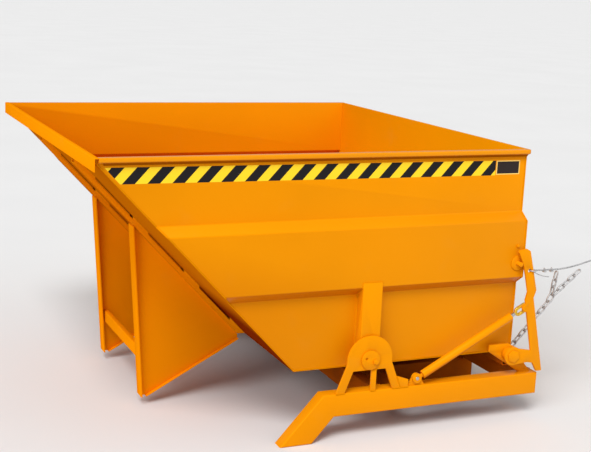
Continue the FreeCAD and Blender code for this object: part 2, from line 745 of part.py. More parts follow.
def closed_wire(sections):
    """Solid of flats between wire sections that follow each other round a closed path."""
    faces = []
    for low, high in zip(sections, sections[1:] + sections[:1]):
        for i in range(wire_sides):
            j = (i + 1) % wire_sides
            faces.append(Part.Face(Part.makePolygon([low[i], low[j], high[j], high[i], low[i]])))
    return Part.Solid(Part.makeShell(faces))


def sections_round(middle, across, normal, radius, diameter, start, steps, turn):
    """Wire sections on an arc about a middle, from a start angle, both angles in radians."""
    way = normal.cross(across)
    sections = []
    for i in range(steps + 1):
        angle = start + turn * i / steps
        out = across * math.cos(angle) + way * math.sin(angle)
        sections.append(wire_section(middle + out * radius, normal.cross(out), out, diameter))
    return sections


def ring(centre, axis, radius, wire):
    """Closed round ring about an axis."""
    across = V(0, 1, 0) if axis.y == 0 else V(1, 0, 0)
    return closed_wire(sections_round(centre, across, axis, radius, wire, 0, ring_steps,
                                       2 * math.pi)[:-1])


def link_shape(centre, way, across, pitch=link_pitch, width=link_width):
    """Chain link about a centre, its length along way and its width along across."""
    bend = (width - link_wire) / 2
    reach = (pitch + link_wire) / 2 - bend
    normal = across.cross(way)
    sections = []
    for end, start in ((1, 0), (-1, math.pi)):
        sections += sections_round(centre + way * (reach * end), across, normal, bend, link_wire,
                                   start, bend_steps, math.pi)
    return closed_wire(sections)


def in_plane(degrees):
    """Direction at an angle above the level, in a plane along the hopper."""
    return V(math.cos(math.radians(degrees)), 0, math.sin(math.radians(degrees)))


def run_of_links(start, rise, count, turned):
    """Links in a straight run, each a quarter turn from the last."""
    way = in_plane(rise)
    across = (V(0, 1, 0), V(-way.z, 0, way.x))
    links = []
    for i in range(count):
        centre = start + way * (link_pitch / 2 + i * (link_pitch - link_gap))
        links.append(link_shape(centre, way, across[(i + turned) % 2]))
    return links, start + way * (count * (link_pitch - link_gap) + link_gap)


chain_y = rail_inner - chain_set_in
eye_x, eye_z = rail_rear - chain_eye_set_in, rail_top + chain_eye_height
eye_y0, eye_y1 = -chain_y - chain_eye_sheet / 2, -chain_y + chain_eye_sheet / 2
chain_eye = block(eye_x - chain_eye_radius, eye_x + chain_eye_radius, eye_y0, eye_y1, rail_top, eye_z)
chain_eye = chain_eye.fuse(rod_y(eye_x, eye_z, eye_y0, eye_y1, 2 * chain_eye_radius)).removeSplitter()
nodes["chain_eye"] = chain_eye.cut(rod_y(eye_x, eye_z, eye_y0, eye_y1, chain_eye_bore))
run_way, junction_way = in_plane(chain_angle), in_plane(junction_angle)
start = V(eye_x, -chain_y, eye_z) + run_way * (chain_eye_bore / 2 - eye_seat)
chain_parts, top = run_of_links(start, chain_angle, chain_count, 0)
junction_start = top - run_way * junction_seat
junction_across = V(-junction_way.z, 0, junction_way.x)
nodes["chain_ring"] = link_shape(junction_start + junction_way * (junction_pitch / 2), junction_way,
                                 junction_across, junction_pitch, junction_width)
junction_bore = junction_width / 2 - link_wire
junction_bend = junction_start + junction_way * (junction_pitch - junction_bore)
for turn, branch_angle, count in zip((1, -1), branch_angles, branch_counts):
    seat = in_plane(junction_angle + turn * junction_spread)
    start = junction_bend + seat * (junction_bore - link_wire / 2 - junction_seat)
    start += in_plane(branch_angle) * (link_wire / 2)
    links, top = run_of_links(start, branch_angle, count, 0)
    chain_parts += links
nodes["safety_chain"] = Part.makeCompound(chain_parts)

# Pull rope: a ring through the lever, the rope with two clips, and a handle ring
rope_ways = [in_plane(angle) for angle in rope_angles]
rope_way = rope_ways[0]
rope_y = (lever_inner + lever_outer) / 2
ring_inner = rope_ring_radius - rope_ring_wire / 2
eye_reach = math.sqrt(ring_inner ** 2 - (lever_sheet / 2) ** 2) + rope_hole / 2 - rope_ring_seat
rope_eye = V(rope_hole_x, -rope_y, rope_hole_z) + rope_way * eye_reach
nodes["rope_ring"] = ring(rope_eye, V(-rope_way.z, 0, rope_way.x), rope_ring_radius, rope_ring_wire)
rope_start = rope_eye + rope_way * (rope_ring_radius + rope_ring_wire / 2)
rope_corner = rope_start + rope_way * rope_runs[0]
rope_end = rope_corner + rope_ways[1] * rope_runs[1]
half_turn = math.radians(rope_angles[1] - rope_angles[0]) / 2
cut_back = rope_bend * math.tan(half_turn)
arc_start = rope_corner - rope_way * cut_back
arc_end = rope_corner + rope_ways[1] * cut_back
arc_middle = rope_corner + (rope_ways[1] - rope_way).normalize() * (
    rope_bend / math.cos(half_turn) - rope_bend)
rope_line = Part.Wire([
    Part.makeLine(rope_start, arc_start), Part.Arc(arc_start, arc_middle, arc_end).toShape(),
    Part.makeLine(arc_end, rope_end),
])
rope_end_face = Part.Face(Part.Wire(Part.makeCircle(rope_diameter / 2, rope_start, rope_way)))
nodes["pull_rope"] = rope_line.makePipe(rope_end_face)
clips = []
clip_bore = rope_diameter / 2 / math.cos(math.pi / wire_sides)   # to the corners of a bore round the rope
for place in rope_clip_places:
    middle = rope_start + rope_way * place
    clip = Part.makeBox(rope_clip_length, rope_clip_width, rope_clip_height,
                        V(-rope_clip_length / 2, -rope_clip_width / 2, -rope_clip_height / 2))
    corners = wire_section(V(-rope_clip_length, 0, 0), V(1, 0, 0), V(0, 1, 0), 2 * clip_bore)
    bore = Part.Face(Part.makePolygon(corners + corners[:1])).extrude(V(2 * rope_clip_length, 0, 0))
    clip = clip.cut(bore)
    clip.rotate(V(0, 0, 0), V(0, -1, 0), rope_angles[0])
    clip.translate(middle)
    clips.append(clip)
nodes["rope_clips"] = Part.makeCompound(clips)
handle_centre = rope_end + rope_ways[1] * (rope_handle_radius + rope_handle_wire / 2)
nodes["rope_handle_ring"] = ring(handle_centre, V(0, 1, 0), rope_handle_radius, rope_handle_wire)

# The row's zero lies under the middle of everything but the rope
rope_nodes = ("rope_ring", "pull_rope", "rope_clips", "rope_handle_ring")
box = Part.makeCompound([shape for name, shape in nodes.items() if name not in rope_nodes]).BoundBox
middle = (box.XMin + box.XMax) / 2
print("moved", round(-middle, 4), "y", box.YMin, box.YMax, "z", box.ZMin, box.ZMax)
for shape in nodes.values():
    shape.translate(V(-middle, 0, 0))

for name, shape in nodes.items():
    solids = shape.Solids
    print(name, len(solids), all(s.isValid() for s in solids), round(shape.Volume))
    shape.exportStep("parts/%s.step" % name)
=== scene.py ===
"""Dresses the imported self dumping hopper: paint, bent edges, welds, tape, chain, rope, light.

Everything is in metres in the part's own frame. X runs from the pouring lip to the truck side,
the latch side is at negative Y, and the ground is at zero.
"""
import json
import logging
import math
from dataclasses import dataclass
from enum import Enum
from typing import Callable, Iterable, Sequence

import bmesh
import bpy
from mathutils import Matrix, Vector
from mathutils.bvhtree import BVHTree

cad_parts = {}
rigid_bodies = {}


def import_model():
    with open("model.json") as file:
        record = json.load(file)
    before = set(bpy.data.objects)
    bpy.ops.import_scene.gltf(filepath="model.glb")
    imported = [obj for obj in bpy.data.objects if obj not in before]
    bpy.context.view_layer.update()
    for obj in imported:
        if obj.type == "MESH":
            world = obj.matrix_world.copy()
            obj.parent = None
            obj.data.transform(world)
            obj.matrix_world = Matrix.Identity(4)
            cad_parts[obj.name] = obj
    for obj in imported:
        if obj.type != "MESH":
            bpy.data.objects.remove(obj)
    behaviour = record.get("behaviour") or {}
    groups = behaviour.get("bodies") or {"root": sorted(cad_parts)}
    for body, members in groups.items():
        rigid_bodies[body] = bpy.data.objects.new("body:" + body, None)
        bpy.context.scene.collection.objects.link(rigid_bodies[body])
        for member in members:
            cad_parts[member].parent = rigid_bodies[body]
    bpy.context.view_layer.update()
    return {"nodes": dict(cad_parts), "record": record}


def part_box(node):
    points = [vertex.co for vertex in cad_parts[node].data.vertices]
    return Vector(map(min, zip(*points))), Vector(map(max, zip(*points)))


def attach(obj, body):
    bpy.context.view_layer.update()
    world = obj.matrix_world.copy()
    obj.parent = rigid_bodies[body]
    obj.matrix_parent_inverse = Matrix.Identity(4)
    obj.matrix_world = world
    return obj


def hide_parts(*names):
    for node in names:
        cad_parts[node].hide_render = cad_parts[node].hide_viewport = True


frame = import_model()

LOG = logging.getLogger("hopper")
MM = 0.001
AHEAD = Vector((1.0, 0.0, 0.0))
ACROSS = Vector((0.0, 1.0, 0.0))
UP = Vector((0.0, 0.0, 1.0))
QUARTER_TURN, HALF_TURN, TURN = math.pi / 2, math.pi, 2 * math.pi

# An edge runs along an axis when this much of its direction does, and level at the second.
ALONG, LEVEL = 0.99, 0.999
# Faces that meet at less than this have no edge between them.
SHARP = math.radians(25)
# Faces flatter than this, and points nearer than this, are one.
FLAT, MERGED = math.radians(0.6), 1e-5
# How near two places or surfaces count as the same.
NEAR, TOUCHING = 0.2 * MM, 0.5 * MM

Span = tuple[float, float]
Colour = tuple[float, float, float]
Box = tuple[Vector, Vector]
Line = Sequence[Vector]
Object = bpy.types.Object
Material = bpy.types.Material
Socket = bpy.types.NodeSocket
BMesh = bmesh.types.BMesh
WHITE: Colour = (1.0, 1.0, 1.0)

BODY_OF: dict[str, str] = {
    node: body
    for body, nodes in frame["record"]["behaviour"]["bodies"].items() for node in nodes
}


class Side(Enum):
    """The two sides of the hopper, by the sign of Y."""

    LATCH = -1
    PLAIN = 1


class Slot(Enum):
    """Material slots of the record."""

    PAINT = "orange_paint"
    ZINC = "zinc_steel"
    BRIGHT = "bright_galvanised"
    YELLOW = "yellow_zinc"
    RUBBER = "black_rubber"


class Cut(Enum):
    """How far the cut edges of each kind of piece are broken."""

    SHEET = 0.9 * MM
    BAR = 1.0 * MM
    PLATE = 1.1 * MM
    SECTION = 1.2 * MM
    BRACKET = 1.4 * MM
    STUD = 1.5 * MM
    LEVER = 1.6 * MM
    SCREW = 1.8 * MM
    PAD = 2.0 * MM
    LINK = 3.0 * MM


# Node trees

class Tree:
    """Nodes of one tree, added and joined by the names of their inputs."""

    def __init__(self, tree: bpy.types.NodeTree) -> None:
        """Takes up the tree that nodes are added to."""
        self.nodes, self.links = tree.nodes, tree.links

    def feed(self, target: Socket, value: object) -> None:
        """Gives an input what it reads.

        Args:
            target: The input.
            value: A socket that is linked in, or a plain value.
        """
        if isinstance(value, Socket):
            self.links.new(value, target)
        else:
            target.default_value = value

    def add(self, kind: str, **settings: object) -> bpy.types.Node:
        """Adds one node.

        Args:
            kind: Blender's type name, such as GeometryNodeMeshToCurve.
            **settings: Properties, and what inputs read, with spaces as underscores in an
                input's name.

        Returns:
            The new node.
        """
        node = self.nodes.new(kind)
        inputs = {}
        for name, value in settings.items():
            if hasattr(node, name):
                setattr(node, name, value)
            else:
                inputs[name.replace("_", " ")] = value
        for name, value in inputs.items():
            self.feed(node.inputs[name], value)
        return node

    def math(self, operation: str, *values: object) -> Socket:
        """Adds a sum.

        Args:
            operation: Blender's name for it.
            *values: The sockets or values that it reads.

        Returns:
            The socket with its result.
        """
        node = self.add("ShaderNodeMath", operation=operation)
        for target, value in zip(node.inputs, values):
            self.feed(target, value)
        return node.outputs[0]

    def half(self, value: object) -> Socket:
        """Half of a value."""
        return self.math("MULTIPLY", value, 0.5)

    def axis(self, vector: Socket, name: str) -> Socket:
        """One part of a vector, X, Y or Z."""
        return self.add("ShaderNodeSeparateXYZ", Vector=vector).outputs[name]

    def ease(self, value: Socket, first: Span, second: Span = (0.0, 1.0)) -> Socket:
        """Maps one range of a value onto another, and holds it at the ends.

        Args:
            value: The socket that is read.
            first: Where the range of the value starts and ends.
            second: What those two places give.

        Returns:
            The socket with the result.
        """
        return self.add("ShaderNodeMapRange", Value=value, From_Min=first[0], From_Max=first[1],
                        To_Min=second[0], To_Max=second[1]).outputs["Result"]


class ShaderTree(Tree):
    """Tree of one material round its main shader."""

    NOISE_SPAN: Span = (0.3, 0.7)
    FINE_DETAIL = 2.0
    # Places of the colour inputs and result among a Mix node's sockets.
    MIX_FIRST, MIX_SECOND, MIX_RESULT = 6, 7, 2

    def __init__(self, name: str) -> None:
        """Makes a material.

        Args:
            name: The material's name.
        """
        self.material = bpy.data.materials.new(name)
        self.material.use_nodes = True
        super().__init__(self.material.node_tree)
        self.shader = next(n for n in self.nodes if n.type == "BSDF_PRINCIPLED")
        coordinates = self.nodes.new("ShaderNodeTexCoord")
        self.place = coordinates.outputs["Object"]
        self.facing = coordinates.outputs["Normal"]

    def set(self, **inputs: object) -> None:
        """Gives inputs of the main shader what they read, by name."""
        for name, value in inputs.items():
            self.feed(self.shader.inputs[name.replace("_", " ")], value)

    def noise(self, scale: float, detail: float = 3.0) -> Socket:
        """Adds a noise pattern on Object coordinates.

        Args:
            scale: Cells to the metre.
            detail: How many finer layers it has.

        Returns:
            The socket with its value, about 0 to 1.
        """
        node = self.add("ShaderNodeTexNoise", Vector=self.place, Scale=scale, Detail=detail)
        return node.outputs["Fac"]

    def ramp(self, source: Socket, stops: Iterable[tuple[float, Colour]]) -> Socket:
        """Adds a colour ramp.

        Args:
            source: Socket with the value that it reads.
            stops: Places and linear colours.

        Returns:
            The ramp's colour socket.
        """
        node = self.add("ShaderNodeValToRGB", Fac=source)
        stops = list(stops)
        elements = node.color_ramp.elements
        while len(elements) < len(stops):
            elements.new(0.5)
        for element, (place, colour) in zip(elements, stops):
            element.position = place
            element.color = (*colour, 1.0)
        return node.outputs["Color"]

    def spread(self, noise: Socket, span: Span) -> Socket:
        """Spreads a noise over a range."""
        return self.ease(noise, self.NOISE_SPAN, span)

    def mix(self, share: Socket, first: Socket, second: Colour, how: str = "MIX") -> Socket:
        """Adds a mix of two colours.

        Args:
            share: Socket with how much of the second there is.
            first: Socket with the first colour.
            second: The second colour.
            how: Blender's name for the way of mixing.

        Returns:
            The socket with the mixed colour.
        """
        node = self.add("ShaderNodeMix", data_type="RGBA", blend_type=how, Factor=share)
        self.feed(node.inputs[self.MIX_FIRST], first)
        self.feed(node.inputs[self.MIX_SECOND], (*second, 1.0))
        return node.outputs[self.MIX_RESULT]

    def bump(self, scale: float, depth: float) -> None:
        """Presses a fine noise into the surface.

        Args:
            scale: Its cells to the metre.
            depth: Its full depth.
        """
        height = self.noise(scale, self.FINE_DETAIL)
        node = self.add("ShaderNodeBump", Strength=1.0, Distance=depth, Height=height)
        self.set(Normal=node.outputs["Normal"])


class GeometryTree(Tree):
    """Geometry tree that runs along lines of points, with named inputs for its sizes."""

    def __init__(self, name: str) -> None:
        """Makes a tree with one geometry input and output.

        Args:
            name: The tree's name.
        """
        self.group = bpy.data.node_groups.new(name, "GeometryNodeTree")
        super().__init__(self.group)
        self.ids: dict[str, str] = {}
        for way in ("INPUT", "OUTPUT"):
            self.group.interface.new_socket("Geometry", in_out=way,
                                            socket_type="NodeSocketGeometry")
        self.start = self.nodes.new("NodeGroupInput")
        self.end = self.nodes.new("NodeGroupOutput")

    def size(self, name: str, kind: str = "Float") -> Socket:
        """Adds a named input.

        Args:
            name: Its name.
            kind: Its kind of socket.

        Returns:
            Its socket inside the tree.
        """
        item = self.group.interface.new_socket(name, in_out="INPUT",
                                               socket_type="NodeSocket" + kind)
        self.ids[name] = item.identifier
        return self.start.outputs[name]

    def curve(self) -> Socket:
        """The lines that come in, as curves."""
        return self.add("GeometryNodeMeshToCurve",
                        Mesh=self.start.outputs["Geometry"]).outputs[0]

    def even_curve(self, step: Socket) -> Socket:
        """Those curves with points at even steps."""
        return self.add("GeometryNodeResampleCurve", mode="LENGTH", Curve=self.curve(),
                        Length=step).outputs[0]

    def circle(self, sides: object, radius: object) -> Socket:
        """A round section or ring."""
        return self.add("GeometryNodeCurvePrimitiveCircle", Resolution=sides,
                        Radius=radius).outputs[0]

    def sweep(self, curve: Socket, section: Socket, **more: object) -> Socket:
        """A section swept along a curve, its ends closed."""
        return self.add("GeometryNodeCurveToMesh", Curve=curve, Profile_Curve=section,
                        Fill_Caps=True, **more).outputs[0]

    def ahead(self, distance: Socket) -> Socket:
        """A vector along X."""
        return self.add("ShaderNodeCombineXYZ", X=distance).outputs[0]

    def odd(self) -> Socket:
        """One at every second point of a row, and zero at the others."""
        return self.math("MODULO", self.add("GeometryNodeInputIndex").outputs[0], 2.0)

    def finish(self, geometry: Socket) -> None:
        """Ends the tree in real geometry with its material set.

        Args:
            geometry: What the tree has made.
        """
        material = self.size("Material", "Material")
        real = self.add("GeometryNodeRealizeInstances", Geometry=geometry)
        made = self.add("GeometryNodeSetMaterial", Geometry=real.outputs[0], Material=material)
        self.links.new(made.outputs[0], self.end.inputs[0])

    def run(self, name: str, lines: Sequence[Line], material: Material, degrees: float,
            **sizes: object) -> Object:
        """Runs the tree.

        Args:
            name: The new object's name.
            lines: The lines that it runs along.
            material: Its finish.
            degrees: Edges flatter than this are smooth.
            **sizes: The tree's named inputs, with spaces as underscores.

        Returns:
            A plain mesh object.
        """
        source = lines_object(name + "_lines", lines)
        modifier = source.modifiers.new(name, "NODES")
        modifier.node_group = self.group
        for key, value in {**sizes, "Material": material}.items():
            modifier[self.ids[key.replace("_", " ")]] = value
        depsgraph = bpy.context.evaluated_depsgraph_get()
        mesh = bpy.data.meshes.new_from_object(source.evaluated_get(depsgraph))
        mesh.name = name
        source.modifiers.clear()
        bpy.data.objects.remove(source)
        obj = new_object(name, mesh)
        smooth(obj, degrees)
        return obj


# Finishes

def shade(colour: Colour, factor: float) -> Colour:
    """A linear colour made darker or lighter."""
    return tuple(min(1.0, part * factor) for part in colour)


@dataclass(frozen=True)
class PaintFinish:
    """Sprayed paint with a faint orange peel, some dust, and painted shade where it looks down."""

    name: str
    colour: Colour
    dusty: Colour
    roughness: Span = (0.30, 0.42)
    peel: float = 0.12 * MM
    peel_scale: float = 420.0
    sheen_scale: float = 23.0
    # Places on the cloud noise, and how much darker or lighter the paint is there.
    clouds: tuple[Span, ...] = ((0.30, 0.955), (0.55, 1.0), (0.78, 1.03))
    # Each noise is given by its scale and detail.
    cloud_noise: Span = (1.7, 4.0)
    dust_noise: Span = (9.0, 8.0)
    dust_span: Span = (0.60, 0.80)
    dust_share: float = 0.04
    scuffs: float = 0.0
    # How far scuffs widen the dusty places, and how much dust they add.
    scuff_reach: float = 0.12
    scuff_share: float = 0.35
    gloss: float = 0.08
    glint: Colour = WHITE
    # A face looks down from the first to the second of these parts of Z.
    looks_down: Span = (-0.15, -0.55)
    # Painted shade on faces that look down: the colour is multiplied by this, and its green by its
    # square.
    shade_below: float = 1.0
    # Deeper painted shade on low faces that look down: its strength, and the tint it multiplies by.
    low_shade: float = 0.0
    # Deeper painted shade low down sets in below the first height and is full at the second.
    low_shade_height: Span = (0.72, 0.52)
    low_shade_tint: Colour = (0.36, 0.15, 0.9)

    def build(self) -> Material:
        """Makes the material.

        Returns:
            The material.
        """
        tree = ShaderTree(self.name)
        tint = tree.ramp(tree.noise(*self.cloud_noise), [
            (place, shade(self.colour, factor)) for place, factor in self.clouds])
        dust_start = self.dust_span[0] - self.scuff_reach * self.scuffs
        dust = tree.ease(tree.noise(*self.dust_noise), (dust_start, self.dust_span[1]),
                         (0.0, self.dust_share + self.scuff_share * self.scuffs))
        tint = self._painted_shade(tree, tree.mix(dust, tint, self.dusty))
        tree.set(Base_Color=tint, Specular_IOR_Level=self.gloss, Specular_Tint=(*self.glint, 1.0),
                 Roughness=tree.spread(tree.noise(self.sheen_scale), self.roughness))
        tree.bump(self.peel_scale, self.peel)
        return tree.material

    def _painted_shade(self, tree: ShaderTree, tint: Socket) -> Socket:
        """Paints shade on faces that look down, and deeper painted shade on those low down.

        Args:
            tree: The material's tree.
            tint: Socket with the paint's colour.

        Returns:
            Socket with the colour below.
        """
        down = tree.ease(tree.axis(tree.facing, "Z"), self.looks_down)
        shade_tint = (self.shade_below, self.shade_below ** 2, self.shade_below)
        tint = tree.mix(down, tint, shade_tint, "MULTIPLY")
        if self.low_shade == 0.0:
            return tint
        low = tree.ease(tree.axis(tree.place, "Z"), self.low_shade_height, (0.0, self.low_shade))
        return tree.mix(tree.math("MULTIPLY", low, down), tint, self.low_shade_tint, "MULTIPLY")


@dataclass(frozen=True)
class MetalFinish:
    """Plated or bare steel with a mottled colour and fine scratches."""

    name: str
    colour: Colour
    dark: Colour
    roughness: Span
    metallic: float = 1.0
    spots: Span = (0.34, 0.62)
    spot_noise: Span = (130.0, 5.0)
    scratch: float = 0.05 * MM
    scratch_scale: float = 900.0

    def build(self) -> Material:
        """Makes the material.

        Returns:
            The material.
        """
        tree = ShaderTree(self.name)
        noise = tree.noise(*self.spot_noise)
        tree.set(Base_Color=tree.ramp(noise, zip(self.spots, (self.dark, self.colour))),
                 Metallic=self.metallic, Roughness=tree.spread(noise, self.roughness))
        tree.bump(self.scratch_scale, self.scratch)
        return tree.material


@dataclass(frozen=True)
class RubberFinish:
    """Matt black rubber with a chalky bloom."""

    name: str = "rest_rubber"
    black: Colour = (0.012, 0.012, 0.012)
    bloom: Colour = (0.045, 0.043, 0.04)
    patches: Span = (0.35, 0.75)
    patch_noise: Span = (60.0, 6.0)
    roughness: float = 0.85
    grain: float = 0.2 * MM
    grain_scale: float = 700.0

    def build(self) -> Material:
        """Makes the material.

        Returns:
            The material.
        """
        tree = ShaderTree(self.name)
        noise = tree.noise(*self.patch_noise)
        tree.set(Base_Color=tree.ramp(noise, zip(self.patches, (self.black, self.bloom))),
                 Roughness=self.roughness)
        tree.bump(self.grain_scale, self.grain)
        return tree.material


@dataclass(frozen=True)
class StripeFinish:
    """Yellow tape with leaning black stripes, the first at its own distance from the lip."""

    name: str = "hazard_tape"
    yellow: Colour = (0.98, 0.65, 0.022)
    black: Colour = (0.012, 0.011, 0.012)
    # Where a black stripe starts: from the lip, and below the top.
    first: float = 87.2 * MM
    drop: float = 43 * MM
    pitch: float = 114.9 * MM
    # How far a stripe leans for each metre of height.
    lean: float = 0.92
    black_share: float = 0.51
    roughness: Span = (0.32, 0.48)
    sheen_scale: float = 40.0
    gloss: float = 0.12
    grain: float = 0.08 * MM
    grain_scale: float = 180.0

    def build(self) -> Material:
        """Makes the material.

        Returns:
            The material.
        """
        tree = ShaderTree(self.name)
        lip_low, lip_high = box_of("lip_bar")
        top = lip_high.z - self.drop
        rise = tree.math("MULTIPLY_ADD", tree.axis(tree.place, "Z"), -self.lean,
                         top * self.lean - (lip_low.x + self.first))
        along = tree.math("ADD", tree.axis(tree.place, "X"), rise)
        share = tree.math("FRACT", tree.math("DIVIDE", along, self.pitch))
        tint = tree.ramp(share, [(0.0, self.black), (self.black_share, self.yellow)])
        tint.node.color_ramp.interpolation = "CONSTANT"
        tree.set(Base_Color=tint, Specular_IOR_Level=self.gloss,
                 Roughness=tree.spread(tree.noise(self.sheen_scale), self.roughness))
        tree.bump(self.grain_scale, self.grain)
        return tree.material


@dataclass(frozen=True)
class Coat:
    """A finish as it goes on: its material, and the record's slot that it belongs to."""

    material: Material
    slot: Slot = Slot.PAINT


class Coats:
    """Every coat of the hopper, made once."""

    def __init__(self) -> None:
        """Makes the coats."""
        orange: Colour = (0.80, 0.272, 0.001)
        dust: Colour = (0.62, 0.30, 0.08)
        glint: Colour = (1.0, 0.66, 0.16)
        # The paint, with painted shade on faces that look down.
        self.paint = Coat(PaintFinish(
            "orange_paint", orange, dust, gloss=0.12, glint=glint, shade_below=0.78).build())
        # A lighter copy of the paint, painted light for the tub's inside, with painted shade on its
        # downward faces, deeper low down.
        self.inside = Coat(PaintFinish(
            "orange_paint_inside_lit", (0.85, 0.325, 0.001), dust, (0.4, 0.55), scuffs=0.15,
            gloss=0.0, shade_below=0.67, low_shade=1.0).build())
        # A lighter copy of the paint without gloss: painted light for the lip's bar and the pieces
        # under the slope, with painted shade below.
        self.matt = Coat(PaintFinish(
            "orange_paint_matt", (0.93, 0.285, 0.001), dust, (0.45, 0.6), scuffs=0.1, gloss=0.0,
            shade_below=0.80).build())
        # The rim's glossier paint, with painted shade on faces that look down.
        self.rim = Coat(PaintFinish(
            "orange_paint_rim", orange, dust, (0.15, 0.22), gloss=0.55, glint=glint,
            shade_below=0.78).build())
        # A darker copy of the paint: painted shade for the weld in the corner under the rim, with
        # more painted shade on its downward face.
        self.fillet = Coat(PaintFinish(
            "fillet_painted_shade", shade(orange, 0.62), dust, (0.5, 0.6), 0.4 * MM, gloss=0.0,
            shade_below=0.72).build())
        self.weld = Coat(PaintFinish(
            "painted_weld", shade(orange, 0.86), dust, (0.5, 0.6), 0.4 * MM, gloss=0.0).build())
        # A darker, redder copy of the paint with dark blotches: painted shade for the cross
        # members, fork pockets and rest beam under the tub.
        self.under = Coat(PaintFinish(
            "orange_paint_shaded", (0.42, 0.090, 0.003), (0.10, 0.040, 0.02), (0.5, 0.7),
            scuffs=1.0, gloss=0.0).build())
        self.panel = Coat(PaintFinish(
            "panel_black", (0.030, 0.022, 0.020), (0.06, 0.05, 0.045), (0.35, 0.5)).build())
        self.panel_edge = Coat(PaintFinish(
            "panel_border", (0.95, 0.63, 0.16), dust, (0.35, 0.5)).build())
        self.tape = Coat(StripeFinish().build())
        self.zinc = Coat(MetalFinish(
            "zinc_plate", (0.62, 0.61, 0.58), (0.40, 0.40, 0.39), (0.32, 0.5)).build(), Slot.ZINC)
        self.bright = Coat(MetalFinish(
            "bright_zinc", (0.62, 0.62, 0.62), (0.36, 0.36, 0.37), (0.42, 0.58),
            metallic=0.6).build(), Slot.BRIGHT)
        self.yellow = Coat(MetalFinish(
            "yellow_zinc", (0.92, 0.60, 0.07), (0.70, 0.42, 0.05), (0.28, 0.42)).build(),
            Slot.YELLOW)
        self.rubber = Coat(RubberFinish().build(), Slot.RUBBER)


# Mesh tools

def new_object(name: str, mesh: bpy.types.Mesh) -> Object:
    """Puts a mesh into the scene.

    Args:
        name: The object's name.
        mesh: Its mesh, in place.

    Returns:
        The object, at the origin.
    """
    obj = bpy.data.objects.new(name, mesh)
    bpy.context.scene.collection.objects.link(obj)
    return obj


def from_bmesh(name: str, bm: BMesh) -> Object:
    """Turns a bmesh into an object.

    Args:
        name: The object's name.
        bm: Its mesh, which is freed.

    Returns:
        The object.
    """
    mesh = bpy.data.meshes.new(name)
    bm.to_mesh(mesh)
    bm.free()
    return new_object(name, mesh)


def smooth(obj: Object, degrees: float) -> None:
    """Shades smoothly across edges flatter than an angle."""
    obj.data.shade_smooth()
    obj.data.set_sharp_from_angle(angle=math.radians(degrees))


def dress(obj: Object, coat: Coat, body: str, *replaces: str) -> None:
    """Gives a finished piece its coat and body.

    Args:
        obj: The piece, in place.
        coat: What is on it.
        body: The body that it moves with.
        *replaces: CAD nodes that it stands for.
    """
    obj.data.materials.clear()
    obj.data.materials.append(coat.material)
    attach(obj, body)
    if replaces:
        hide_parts(*replaces)
    LOG.info("%s rides on %s", obj.name, body)


def in_plane(degrees: float) -> Vector:
    """Direction at an angle above the level, in a plane along the hopper."""
    return Vector((math.cos(math.radians(degrees)), 0, math.sin(math.radians(degrees))))


def arc(middle: Vector, first: Vector, second: Vector, steps: int, start: float = 0.0,
        turn: float = TURN) -> list[Vector]:
    """Points round an arc, a circle or an ellipse.

    Args:
        middle: Its centre.
        first: From the centre to where its angle is zero.
        second: From the centre to where its angle is a quarter turn.
        steps: Steps from its first to its last point.
        start: Angle of its first point.
        turn: Angle from its first to its last point.

    Returns:
        The points, both ends among them.
    """
    angles = (start + turn * i / steps for i in range(steps + 1))
    return [middle + first * math.cos(angle) + second * math.sin(angle) for angle in angles]


def box_of(node: str) -> Box:
    """Lowest and highest corner of a CAD node."""
    low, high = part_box(node)
    return Vector(low), Vector(high)


def near(first: float, second: float) -> bool:
    """Whether two places are the same."""
    return abs(first - second) < NEAR


def outer(low: Vector, high: Vector) -> float:
    """How far from the middle plane a box reaches."""
    return max(abs(low.y), abs(high.y))


def merged_copy(node: str) -> BMesh:
    """Copies a CAD node, its loose triangles joined and its flat faces made whole.

    Args:
        node: The node.

    Returns:
        Its mesh.
    """
    bm = bmesh.new()
    bm.from_mesh(frame["nodes"][node].data)
    bmesh.ops.remove_doubles(bm, verts=bm.verts, dist=MERGED)
    bmesh.ops.dissolve_limit(bm, angle_limit=FLAT, verts=bm.verts, edges=bm.edges)
    bmesh.ops.recalc_face_normals(bm, faces=bm.faces)
    return bm


def sharp_edges(bm: BMesh) -> list[bmesh.types.BMEdge]:
    """Edges at which two faces meet at an angle."""
    return [edge for edge in bm.edges
            if len(edge.link_faces) == 2 and edge.calc_face_angle(0.0) > SHARP]


def prism(name: str, outline: Line, depth: Vector) -> Object:
    """Makes a solid of a flat outline.

    Args:
        name: The object's name.
        outline: Its corners in order.
        depth: From the outline to the far face.

    Returns:
        The object, normals outwards.
    """
    bm = bmesh.new()
    near_side = [bm.verts.new(point) for point in outline]
    far_side = [bm.verts.new(point + depth) for point in outline]
    bm.faces.new(near_side)
    bm.faces.new(list(reversed(far_side)))
    for i, corner in enumerate(near_side):
        bm.faces.new((corner, near_side[i - 1], far_side[i - 1], far_side[i]))
    bmesh.ops.recalc_face_normals(bm, faces=bm.faces)
    return from_bmesh(name, bm)


def joined(name: str, parts: Iterable[Object], degrees: float) -> Object:
    """Joins several objects.

    Args:
        name: The new object's name.
        parts: The objects, which are removed.
        degrees: Edges flatter than this are smooth.

    Returns:
        One object of them all, in place.
    """
    bm = bmesh.new()
    for part in parts:
        bm.from_mesh(part.data)
        bpy.data.objects.remove(part)
    obj = from_bmesh(name, bm)
    smooth(obj, degrees)
    return obj


